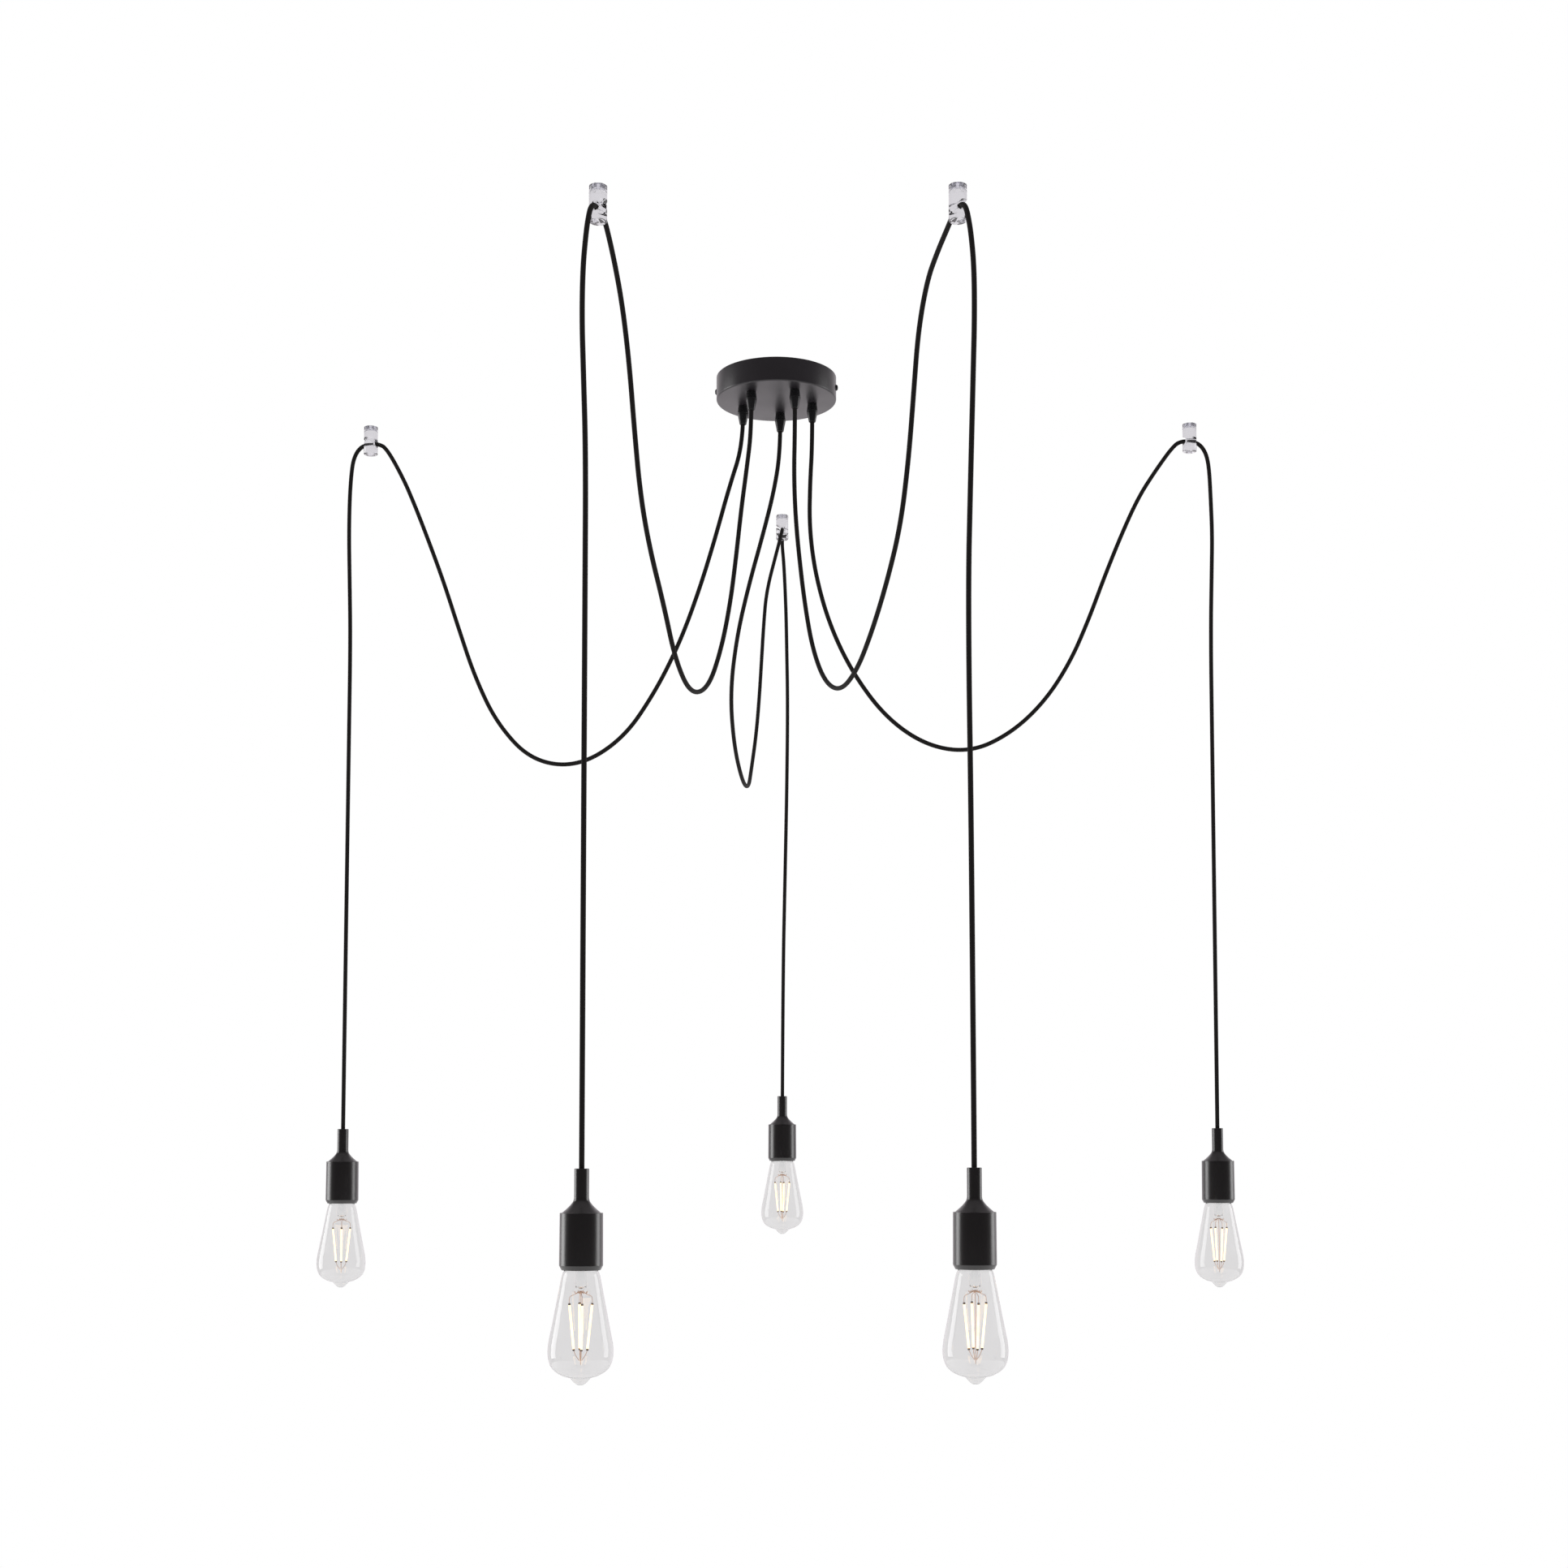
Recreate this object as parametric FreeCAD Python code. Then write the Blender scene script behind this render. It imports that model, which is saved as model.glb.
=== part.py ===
import FreeCAD, Part
import math
import os

# A cluster pendant: one ceiling canopy feeds five cords, each cord swags to its own clear ceiling hook
# and drops to a sleeved lampholder with a filament-style bulb.
# Millimetres. The origin is on the ceiling, at the middle of the canopy, and +Z points up.

V = FreeCAD.Vector

# ---- flat sides that stand for round surfaces, few because most pieces come five times ----
canopy_sides = 48
lamp_sides = 18             # of a bulb's and a sleeve's outside
round_sides = 14            # of what fits inside them
small_sides = 10

# ---- ceiling canopy ----
canopy_r = 76.5
canopy_h = 30.0
canopy_wall = 1.0
canopy_edge = 2.0            # rounding of the lower edge
canopy_turn = -6.0           # degrees that the canopy's hole pattern is turned on the ceiling
grip_circle_r = 47.0
side_screw_z = -15.0

# ---- ceiling bracket, a strap with two turned-down ears ----
strap_w = 20.0
strap_t = 1.5
ear_h = 21.0
ear_gap = 0.4                # between an ear's edges and the canopy's wall
ceiling_screw_pcd = 70.0
ceiling_screw_hole_r = 2.75

# ---- screws ----
side_screw_r = 2.0
side_screw_head_r = 3.9
side_screw_head_h = 2.6
side_screw_reach = 5.0       # past the ear
driver_slot_w = 0.9
driver_slot_h = 1.1
head_play = 0.05             # between a head and the curved canopy side
hole_play = 0.3              # round a screw or stub that passes through
thread_play = 0.05           # between a screw and the hole that it is tapped into

# ---- cord ----
cord_d = 5.5
cord_play = 0.5              # round a cord in a bore
cord_sides = 6               # of the tube that stands for the braid

# ---- cord grip: body, tapered cap and nut ----
grip_body_h = 9.0
grip_top_r = 5.9
grip_r = 6.9
grip_ring_h = 1.2
grip_ring_r = 7.2
grip_cap_h = 13.8
grip_cap_tip_r = 4.3
grip_cap_shoulder_h = 2.5
grip_cap_taper = 0.5
grip_stub_r = 5.0
grip_stub_h = 8.0
nut_across = 14.0
nut_h = 4.0

# ---- terminal block ----
block_l = 30.0
block_w = 20.0
block_h = 13.0
block_ways = 3
wire_hole = 3.6
groove_w = 1.2
cord_bend_r = 7.0            # of a cord that turns down into its grip
block_gap = 0.3              # between a cord's end and the block

# ---- clear ceiling hook ----
hook_r = 9.45
hook_h = 37.7
hook_edge = 1.0
hook_rim_h = 6.5             # the cup over the base
hook_rim_wall = 2.2
notches = 8
notch_w = 2.4
notch_h = 4.6
seat_z = -24.0               # the cord's centre line where it lies in the hook
seat_play = 0.5
seat_flare = 1.0             # that the pocket widens by towards the hook's two sides
mouth_h = 5.3
mouth_roof = 4.3             # above the seat, in the middle of the hook
mouth_rise = 27.0            # degrees that the mouth climbs towards the hook's open side

# ---- hook base ----
base_h = 4.4
base_play = 0.3
lug_play = 0.2
base_screw_r = 2.25
base_head_r = 4.2
base_seat_ring = 0.4         # flat ring between the screw hole and its countersink
base_hole_len = 2.2

# ---- lampholder sleeve; heights from here on are from the middle of its mouth ----
sleeve_neck_r = 7.35
sleeve_flare_h = 15.2
sleeve_flare_mid = (11.2, 7.2)      # radius, and height above the shoulder
sleeve_shoulder_r = 18.8
sleeve_top_r = 21.2
sleeve_r = 21.5
sleeve_h = 99.0
sleeve_roof_h = 4.6          # from the insert's space up to the shoulder
sleeve_shoulder_h = 0.3      # of the ledge round the shoulder
sleeve_foot_h = 4.6
sleeve_foot_r = 19.3
sleeve_bore_r = 18.0
flare_bands = 3

# ---- lampholder insert and contacts ----
insert_top = 51.0
insert_h = 43.0
insert_play = 0.2
insert_floor_h = 15.0
screw_shell_play = 0.5       # between the cap's thread and the insert's
contact_w = 5.0
contact_t = 0.5
contact_gap = 0.3

# ---- bulb ----
bulb_cap_r = 13.1
bulb_cap_top = 29.0
bulb_cap_h = 22.0
bulb_cap_cone_h = 2.0
bulb_cap_cone_r = 11.0
insulator_h = 2.6
insulator_r = 9.0
button_r = 4.6
button_h = 1.6
glass_t = 0.9
glass_neck_r = 12.4
glass_rim_r = 17.3
glass_rim_z = -0.5
glass_shoulder = (30.6, -67.0)
glass_widest = (32.1, -78.0)
glass_haunch = (30.2, -90.0)
glass_turn = (23.0, -99.3)
glass_floor = (11.0, -104.0)
pip_side = (8.4, -106.2)
pip_end = (4.4, -110.0)
bulb_reach = 111.2           # below the sleeve's mouth
shoulder_bands = 2
floor_bands = 2
stem_r = 5.35
stem_end = -19.5
stem_taper_h = 2.5

# ---- filaments ----
filament_count = 4
filament_w = 1.8
filament_top = (11.3, -32.0)
filament_foot = (6.6, -78.0)
filament_lead_r = 1.9
filament_hairpin = (2.2, -87.5)
filament_gap = 0.2           # between a wire's end and the stem
lead_w = 0.7
filament_turn = 12.0         # degrees that the four strips are turned about the stem

# ---- places on the ceiling and heights of the five lamps ----
# name, direction of its cord grip, hook across, hook back, top of its sleeve
PENDANTS = (
    ("front_left", 234.0, -181.0, -552.0, -1005.0),
    ("left", 162.0, -554.0, 188.0, -956.0),
    ("rear", 90.0, 7.0, 597.0, -900.0),
    ("right", 18.0, 561.0, 176.0, -955.0),
    ("front_right", 306.0, 188.0, -554.0, -1004.0),
)
hang_out = 27.0              # how far beyond its hook each lamp hangs

# Cord routes, chosen by hand: distance from the grip towards the hook, distance aside, height.
SWAGS = {
    "front_left": (
        (0, 0, -80), (19, 0, -134), (42, 0, -193), (62, 0, -256), (86, 0, -322), (122, 0, -388),
        (172, 0, -446), (236, 0, -466), (290, 0, -438), (330, 0, -385), (378, 0, -333),
        (408, 0, -282), (427, 0, -218), (443, 0, -155), (464, 0, -100), (488, 0, -62),
    ),
    "left": (
        (0, 0, -80), (19, 0, -135), (38, 0, -200), (59, 0, -264), (85, 0, -330), (119, 0, -393),
        (164, 0, -453), (228, 0, -486), (294, 0, -474), (344, 0, -422), (377, 0, -358),
        (402, 0, -290), (426, 0, -222), (451, 0, -160), (470, 0, -115), (488, 0, -76),
    ),
    "rear": (
        (0, 0, -80), (12, 8, -128), (30, 23, -182), (52, 41, -240), (80, 58, -304), (120, 68, -372),
        (174, 64, -434), (238, 54, -472), (306, 47, -470), (370, 44, -430), (421, 38, -370),
        (456, 34, -308), (484, 31, -244), (505, 28, -182), (517, 24, -128), (515, 8, -66),
    ),
    "right": (
        (0, 0, -84), (-3, 0, -134), (-4, 0, -192), (4, 0, -252), (23, 0, -316), (54, 0, -376),
        (100, 0, -432), (157, 0, -465), (218, 0, -469), (275, 0, -440), (323, 0, -395),
        (360, 0, -340), (387, 0, -282), (411, 0, -222), (436, 0, -164), (462, 0, -110),
        (487, 0, -72),
    ),
    "front_right": (
        (0, 0, -84), (-4, 0, -135), (2, 0, -192), (18, 0, -252), (40, 0, -316), (70, 0, -378),
        (116, 0, -428), (172, 0, -450), (228, 0, -438), (278, 0, -405), (328, 0, -360),
        (371, 0, -308), (396, 0, -242), (412, 0, -174), (426, 0, -112), (452, 0, -67),
        (480, 0, -48),
    ),
}
# The last points of every swag and the first of every drop, from the hook: out, aside, height.
HOOK_IN = ((-24, 0, -31), (-11, 0, seat_z), (0, 0, seat_z))
HOOK_OUT = ((0, 0, seat_z), (11, 0, seat_z), (20, 0, -30), (26.5, 0, -42))
# Below the hook each cord bows out or aside before it hangs straight: out, aside, height.
DROPS = {
    "front_left": ((29.5, -1.5, -62), (31, -4, -98), (30, -5, -150), (27, -1, -290)),
    "left": ((29.5, 0, -62), (31.5, 0, -98), (31, 1, -150), (27, 0, -290)),
    "rear": (
        (29.5, -2, -62), (31, -4, -98), (30, -6, -150), (27, -8.5, -290), (27, -7, -430),
        (27, -1, -720),
    ),
    "right": ((29.5, 0, -62), (31, 0, -98), (32, -1, -150), (28, 0, -290)),
    "front_right": (
        (29.5, 2, -62), (31, 4.5, -98), (30, 5, -150), (27, 1, -310), (27, -3, -440),
        (27, -0.5, -700),
    ),
}

# ---- fits worked out from the sizes above ----
floor_z = -canopy_h
grip_ring_z = floor_z - grip_body_h
grip_tip_z = grip_ring_z - grip_ring_h - grip_cap_h
cord_bore_r = cord_d / 2 + cord_play
insert_r = sleeve_bore_r - insert_play
insert_bore_r = bulb_cap_r + screw_shell_play
insert_foot = insert_top - insert_h
insert_floor = insert_top - insert_floor_h
sleeve_shoulder_z = insert_top + insert_play + sleeve_roof_h
sleeve_neck_h = sleeve_h - sleeve_flare_h - sleeve_shoulder_z     # the neck takes what is left
bulb_cap_foot = bulb_cap_top - bulb_cap_h
contact_face = bulb_cap_top + insulator_h + button_h
ear_x = math.sqrt((canopy_r - canopy_wall) ** 2 - (strap_w / 2) ** 2) - ear_gap


def turned(points, sides):
    """A solid of revolution about Z, in flat sides, from a closed outline of (radius, height) points."""
    step = 2 * math.pi / sides
    faces = []
    for (r0, z0), (r1, z1) in zip(points, points[1:] + points[:1]):
        if max(r0, r1) < 0.001:
            continue
        for i in range(sides):
            a, b = step * (i - 0.5), step * (i + 0.5)
            corners = [V(r0 * math.cos(a), r0 * math.sin(a), z0), V(r1 * math.cos(a), r1 * math.sin(a), z1),
                       V(r1 * math.cos(b), r1 * math.sin(b), z1), V(r0 * math.cos(b), r0 * math.sin(b), z0)]
            corners = [c for c, d in zip(corners, corners[1:] + corners[:1]) if (c - d).Length > 0.001]
            faces.append(Part.Face(Part.makePolygon(corners + corners[:1])))
    shell = Part.makeShell(faces)
    shell.sewShape()
    solid = Part.makeSolid(shell)
    if solid.Volume < 0:
        solid.reverse()
    return solid.removeSplitter()


def bow(start, through, end, bands):
    """Points on the circular arc through three outline points, start left out, in equal bands."""
    arc = Part.Arc(V(start[0], 0, start[1]), V(through[0], 0, through[1]), V(end[0], 0, end[1]))
    edge = arc.toShape()
    first, last = edge.ParameterRange
    found = [edge.valueAt(first + (last - first) * i / bands) for i in range(1, bands + 1)]
    return [(p.x, p.z) for p in found]


def inset(points, wall):
    """An open outline, drawn downwards, moved towards the axis by a wall, with its corners still sharp."""
    result = []
    for i, (r, z) in enumerate(points):
        before, after = points[max(i - 1, 0)], points[min(i + 1, len(points) - 1)]
        runs = [V(r - before[0], 0, z - before[1]), V(after[0] - r, 0, after[1] - z)]
        runs = [run.normalize() for run in runs if run.Length > 0.001]
        across = [V(0, 1, 0).cross(run) for run in runs]
        middle = (across[0] + across[-1]).normalize()
        reach = wall / middle.dot(across[0])
        result.append((r + middle.x * reach, z + middle.z * reach))
    return result


def rod(r, z_low, z_high, sides=small_sides):
    """A straight bar on Z."""
    return turned([(0, z_low), (r, z_low), (r, z_high), (0, z_high)], sides)


def block(x0, x1, y0, y1, z0, z1):
    """A box between two corners."""
    return Part.makeBox(x1 - x0, y1 - y0, z1 - z0, V(x0, y0, z0))


def prism(corners, along, length):
    """A straight solid from a closed outline of points, carried along a direction."""
    face = Part.Face(Part.makePolygon(list(corners) + [corners[0]]))
    return face.extrude(along * length)


def around(shape, angle):
    """A copy of the shape turned about Z."""
    copy = shape.copy()
    copy.rotate(V(0, 0, 0), V(0, 0, 1), angle)
    return copy


def on_x(shape):
    """A copy of the shape with its Z laid along X."""
    copy = shape.copy()
    copy.rotate(V(0, 0, 0), V(0, 1, 0), 90)
    return copy


def moved(shape, x, y, z):
    """A copy of the shape carried to a place."""
    copy = shape.copy()
    copy.translate(V(x, y, z))
    return copy


# ---- places ----
def grip_place(direction):
    """Where a cord leaves the canopy."""
    a = math.radians(direction + canopy_turn)
    return V(grip_circle_r * math.cos(a), grip_circle_r * math.sin(a), 0)


def hook_frame(pendant):
    """A hook's place and the directions out along its cord and aside from it."""
    hook = V(pendant[2], pendant[3], 0)
    out = (hook - grip_place(pendant[1])).normalize()
    return hook, out, V(-out.y, out.x, 0)


def lamp_place(pendant):
    """The middle of the lampholder sleeve's mouth."""
    hook, out, aside = hook_frame(pendant)
    return hook + out * hang_out + V(0, 0, pendant[4] - sleeve_h)


# ---- canopy ----
def canopy():
    inner = canopy_r - canopy_wall
    inner_edge = canopy_edge - canopy_wall
    cup = turned([
        (0, floor_z), (canopy_r - canopy_edge, floor_z), (canopy_r, floor_z + canopy_edge), (canopy_r, 0),
        (inner, 0), (inner, floor_z + canopy_wall + inner_edge), (inner - inner_edge, floor_z + canopy_wall),
        (0, floor_z + canopy_wall)], canopy_sides)
    stub_hole = rod(grip_stub_r + hole_play, floor_z - 1, floor_z + canopy_wall + 1)
    cup = cup.cut(at_grips(stub_hole))
    screw_hole = moved(on_x(rod(side_screw_r + hole_play, -canopy_r - 1, canopy_r + 1)), 0, 0, side_screw_z)
    return cup.cut(around(screw_hole, canopy_turn))


def ceiling_bracket():
    strap = block(-ear_x, ear_x, -strap_w / 2, strap_w / 2, -strap_t, 0)
    for side in (-1, 1):
        ear = block(ear_x - strap_t, ear_x, -strap_w / 2, strap_w / 2, -ear_h, 0)
        strap = strap.fuse(around(ear, 0 if side > 0 else 180))
        strap = strap.cut(Part.makeCylinder(ceiling_screw_hole_r, strap_t + 2,
                                            V(side * ceiling_screw_pcd / 2, 0, -strap_t - 1)))
    tapped = moved(on_x(rod(side_screw_r, -ear_x - 1, ear_x + 1)), 0, 0, side_screw_z)
    return around(strap.cut(tapped).removeSplitter(), canopy_turn)


def canopy_screws():
    shoulder = side_screw_head_h * 0.3
    crown_r = side_screw_head_r * 0.6
    head = turned([(0, 0), (side_screw_head_r, 0), (side_screw_head_r, shoulder),
                   (crown_r, side_screw_head_h), (0, side_screw_head_h)], small_sides)
    head = head.cut(block(-side_screw_head_r, side_screw_head_r, -driver_slot_w / 2, driver_slot_w / 2,
                          side_screw_head_h - driver_slot_h, side_screw_head_h + 1))
    shank = rod(side_screw_r - thread_play, ear_x - strap_t - side_screw_reach - canopy_r, 0)
    screw = moved(on_x(head.fuse(shank)), canopy_r + head_play, 0, side_screw_z)
    return [around(screw, canopy_turn), around(screw, canopy_turn + 180)]


def terminal_block():
    low = -strap_t - block_h
    body = block(-block_l / 2, block_l / 2, -block_w / 2, block_w / 2, low, -strap_t)
    pitch = block_l / block_ways
    groove = block(-groove_w / 2, groove_w / 2, -block_w, block_w, low - 1, low + groove_w)
    for way in range(block_ways):
        x = (way - (block_ways - 1) / 2) * pitch
        wire_way = block(x - wire_hole / 2, x + wire_hole / 2, -block_w, block_w,
                         low + (block_h - wire_hole) / 2, low + (block_h + wire_hole) / 2)
        body = body.cut(wire_way)
        if way:
            body = body.cut(moved(groove, x - pitch / 2, 0, 0))
    return around(body, canopy_turn)


def block_reach(direction):
    """How far the terminal block's side lies from the middle, towards a grip."""
    a = math.radians(direction)
    across, along = abs(math.cos(a)), abs(math.sin(a))
    if across * block_w > along * block_l:
        return block_l / 2 / across + cord_d / 2 * along / across
    return block_w / 2 / along + cord_d / 2 * across / along


# ---- cord grips ----
def cord_grip():
    ring_low = grip_ring_z - grip_ring_h
    top = floor_z + grip_stub_h
    return turned([
        (cord_bore_r, ring_low), (grip_ring_r, ring_low), (grip_ring_r, grip_ring_z), (grip_r, grip_ring_z),
        (grip_top_r, floor_z), (grip_stub_r, floor_z), (grip_stub_r, top), (cord_bore_r, top)], small_sides)


def grip_cap():
    top = grip_ring_z - grip_ring_h
    shoulder = top - grip_cap_shoulder_h
    return turned([
        (cord_bore_r, top), (cord_bore_r, grip_tip_z), (grip_cap_tip_r, grip_tip_z),
        (grip_r - grip_cap_taper, shoulder), (grip_r, top)], small_sides)


def grip_nut():
    low = floor_z + canopy_wall
    corner_r = nut_across / 2 / math.cos(math.pi / 6)
    bore = rod(grip_stub_r + thread_play, low - 1, low + nut_h + 1)
    return rod(corner_r, low, low + nut_h, 6).cut(bore)


# ---- ceiling hook, in its own directions: X out along the cord, Y aside, Z up ----
def hook_body():
    cup_r = hook_r - hook_rim_wall
    body = turned([(0, -hook_h), (hook_r - hook_edge, -hook_h), (hook_r, -hook_h + hook_edge), (hook_r, 0),
                   (cup_r, 0), (cup_r, -hook_rim_h), (0, -hook_rim_h)], 2 * notches)
    for i in range(notches // 2):
        notch = block(-hook_r - 1, hook_r + 1, -notch_w / 2, notch_w / 2, -notch_h, 1)
        body = body.cut(around(notch, 360 * i / notches))
    return body.cut(cord_slot())


def cord_slot():
    """A round pocket for the cord, flared at both ends, and a mouth that climbs past a lip to one side."""
    pocket_r = cord_d / 2 + seat_play
    flare_r = pocket_r + seat_flare
    side = hook_r + 1
    rise = math.tan(math.radians(mouth_rise))
    roof, floor = seat_z + mouth_roof, seat_z + mouth_roof - mouth_h
    mouth = prism([V(-side, -pocket_r, seat_z), V(-side, -pocket_r, roof - rise * pocket_r),
                   V(-side, side, roof + rise * side), V(-side, side, floor + rise * side),
                   V(-side, pocket_r, floor + rise * pocket_r), V(-side, pocket_r, seat_z)],
                  V(1, 0, 0), 2 * side)
    pocket = turned([(0, -side), (flare_r, -side), (pocket_r, -hook_r / 2), (pocket_r, hook_r / 2),
                     (flare_r, side), (0, side)], small_sides)
    return mouth.fuse(moved(on_x(pocket), 0, 0, seat_z))


def hook_base():
    """A plate with a lug for each of the hook's notches, on flat sides that face the lugs."""
    r = hook_r - hook_rim_wall - base_play
    lug_w = notch_w - 2 * lug_play
    lug_end = hook_r - base_play
    base = rod(r, -base_h, 0, notches)
    for i in range(notches // 2):
        lugs = block(-lug_end, lug_end, -lug_w / 2, lug_w / 2, -base_h, 0)
        base = base.fuse(around(lugs, 360 * i / notches))
    seat_r = base_screw_r + base_seat_ring
    head_z = -base_hole_len - base_head_r + seat_r
    countersink = turned([(0, -base_hole_len), (seat_r, -base_hole_len), (base_head_r, head_z),
                          (base_head_r, -base_h - 1), (0, -base_h - 1)], small_sides)
    screw_hole = Part.makeCylinder(base_screw_r, base_h, V(0, 0, -base_hole_len - 1))
    return base.cut([countersink, screw_hole]).removeSplitter()


# ---- lampholder and bulb, from the middle of the sleeve's mouth ----
def socket_sleeve():
    neck = (sleeve_neck_r, sleeve_h - sleeve_neck_h)
    shoulder = (sleeve_shoulder_r, sleeve_shoulder_z)
    middle = (sleeve_flare_mid[0], shoulder[1] + sleeve_flare_mid[1])
    outside = turned([
        (0, sleeve_h), (sleeve_neck_r, sleeve_h), neck, *bow(neck, middle, shoulder, flare_bands),
        (sleeve_top_r, shoulder[1] - sleeve_shoulder_h), (sleeve_r, sleeve_foot_h), (sleeve_foot_r, 0),
        (0, 0)], lamp_sides)
    holder_space = rod(sleeve_bore_r, -1, insert_top + insert_play, round_sides)
    return outside.cut([holder_space, rod(cord_bore_r, insert_top, sleeve_h + 1)])


def socket_insert():
    outside = rod(insert_r, insert_foot, insert_top, round_sides)
    return outside.cut(rod(insert_bore_r, insert_foot - 1, insert_floor, round_sides))


def socket_contacts():
    """A bent centre tongue under the insert's floor, and a side strip beside the cap's thread."""
    high = insert_floor
    tip_z = contact_face + contact_gap
    tongue_x = button_r - 1
    tongue = prism([V(-tongue_x, -contact_w / 2, high), V(tongue_x, -contact_w / 2, high),
                    V(tongue_x, -contact_w / 2, tip_z), V(-tongue_x, -contact_w / 2, tip_z),
                    V(-tongue_x, -contact_w / 2, tip_z + contact_t),
                    V(tongue_x - contact_t, -contact_w / 2, tip_z + contact_t),
                    V(tongue_x - contact_t, -contact_w / 2, high - contact_t),
                    V(-tongue_x, -contact_w / 2, high - contact_t)], V(0, 1, 0), contact_w)
    strip_x = bulb_cap_cone_r + contact_t
    strip = prism([V(strip_x - contact_w, -contact_w / 2, high), V(strip_x, -contact_w / 2, high),
                   V(strip_x, -contact_w / 2, bulb_cap_top + contact_gap),
                   V(strip_x - contact_t, -contact_w / 2, bulb_cap_top + contact_gap),
                   V(strip_x - contact_t, -contact_w / 2, high - contact_t),
                   V(strip_x - contact_w, -contact_w / 2, high - contact_t)], V(0, 1, 0), contact_w)
    return [tongue, strip]


def bulb_glass():
    """The hollow envelope with its exhaust pip, and the stem that carries the filaments."""
    neck = bulb_cap_foot
    wall = [(glass_neck_r, neck), (glass_rim_r, glass_rim_z), glass_shoulder,
            *bow(glass_shoulder, glass_widest, glass_haunch, shoulder_bands),
            *bow(glass_haunch, glass_turn, glass_floor, floor_bands)]
    outside = turned([(0, neck)] + wall + [pip_side, pip_end, (0, -bulb_reach)], lamp_sides)
    inner = inset(wall, glass_t)
    mouth = (inner[0][0], neck + 1)
    inside = turned([(0, neck + 1), mouth] + inner + [(0, inner[-1][1])], round_sides)
    stem = turned([(0, neck), (stem_r, neck), (stem_r, stem_end + stem_taper_h), (0, stem_end)], small_sides)
    return [outside.cut(inside), stem]


def bulb_cap():
    cone = bulb_cap_top - bulb_cap_cone_h
    return turned([(0, bulb_cap_foot), (bulb_cap_r, bulb_cap_foot), (bulb_cap_r, cone),
                   (bulb_cap_cone_r, bulb_cap_top), (0, bulb_cap_top)], round_sides)


def bulb_contact():
    top = bulb_cap_top + insulator_h
    return turned([(0, bulb_cap_top), (insulator_r, bulb_cap_top), (button_r, top),
                   (button_r, top + button_h), (0, top + button_h)], small_sides)


def bar(start, end, width):
    """A square bar between two points."""
    along = end - start
    length = along.Length
    along.normalize()
    side = along.cross(V(0, 0, 1)).normalize()
    up = side.cross(along)
    h = width / 2
    corners = [start + side * a * h + up * b * h for a, b in ((-1, -1), (1, -1), (1, 1), (-1, 1))]
    return prism(corners, along, length)


def bulb_filaments():
    """Two hairpins of two light strips each, hung from wires that leave the stem's end."""
    def at(place, index):
        a = math.radians(filament_turn + 360 * index / filament_count)
        return V(place[0] * math.cos(a), place[0] * math.sin(a), place[1])

    hairpins = []
    for first in range(0, filament_count, 2):
        meet = at(filament_hairpin, first + 0.5)
        pieces = []
        for index in (first, first + 1):
            root = at((filament_lead_r, stem_end - filament_gap), index)
            top, foot = at(filament_top, index), at(filament_foot, index)
            pieces += [bar(root, top, lead_w), bar(top, foot, filament_w), bar(foot, meet, lead_w)]
        hairpins.append(pieces[0].fuse(pieces[1:]))
    return hairpins


# ---- cords ----
def route_points(origin, out, aside, points):
    return [origin + out * o + aside * s + V(0, 0, z) for o, s, z in points]


def swag_route(pendant):
    """From the terminal block, down through the cord grip, along and up to the middle of the hook."""
    grip = grip_place(pendant[1])
    hook, out, aside = hook_frame(pendant)
    level = V(0, 0, -strap_t - block_h / 2)
    start = grip * ((block_reach(pendant[1]) + block_gap) / grip_circle_r)
    return ([start + level, grip + level] + route_points(grip, out, aside, SWAGS[pendant[0]])
            + route_points(hook, out, aside, HOOK_IN))


def drop_route(pendant):
    """From the middle of the hook over its edge and down to the lampholder's insert."""
    hook, out, aside = hook_frame(pendant)
    foot = lamp_place(pendant) + V(0, 0, insert_top + insert_play)
    return route_points(hook, out, aside, HOOK_OUT + DROPS[pendant[0]]) + [foot]


def rounded_path(points, first_radius=None):
    """Straight runs joined by tangent arcs, each as large as its two runs allow, and the arcs' radii.
    The first arc may have a radius of its own."""
    edges, radii, here = [], [], points[0]
    for before, corner, after in zip(points, points[1:], points[2:]):
        a, b = before - corner, after - corner
        shorter = min(a.Length, b.Length)
        a.normalize()
        b.normalize()
        half_turn = (math.pi - a.getAngle(b)) / 2
        r = 0.45 * shorter / math.tan(half_turn)
        if first_radius and not radii:
            r = first_radius
        start, end = corner + a * r * math.tan(half_turn), corner + b * r * math.tan(half_turn)
        to_centre = (a + b).normalize()
        crest = corner + to_centre * (r / math.cos(half_turn) - r)
        edges += [Part.LineSegment(here, start).toShape(), Part.Arc(start, crest, end).toShape()]
        radii.append(r)
        here = end
    edges.append(Part.LineSegment(here, points[-1]).toShape())
    return edges, radii


def cord(name, points, first_radius=None):
    """A tube of the cord's section along its route."""
    edges, radii = rounded_path(points, first_radius)
    along = (points[1] - points[0]).normalize()
    level = along.cross(V(0, 0, 1))
    side = level.normalize() if level.Length > 0.001 else V(1, 0, 0)
    up = side.cross(along)
    step = 2 * math.pi / cord_sides
    corner_r = cord_d / 2 * math.sqrt(step / math.sin(step))
    ring = [points[0] + side * corner_r * math.cos(step * i) + up * corner_r * math.sin(step * i)
            for i in range(cord_sides)]
    tube = Part.Wire(edges).makePipeShell([Part.makePolygon(ring + ring[:1])], True, False)
    length = sum(edge.Length for edge in edges)
    share = tube.Volume / (math.pi * cord_d ** 2 / 4 * length)
    print("%s: length %.0f, radii %s, volume over section x length %.4f"
          % (name, length, " ".join("%.0f" % r for r in radii), share))
    return tube


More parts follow.
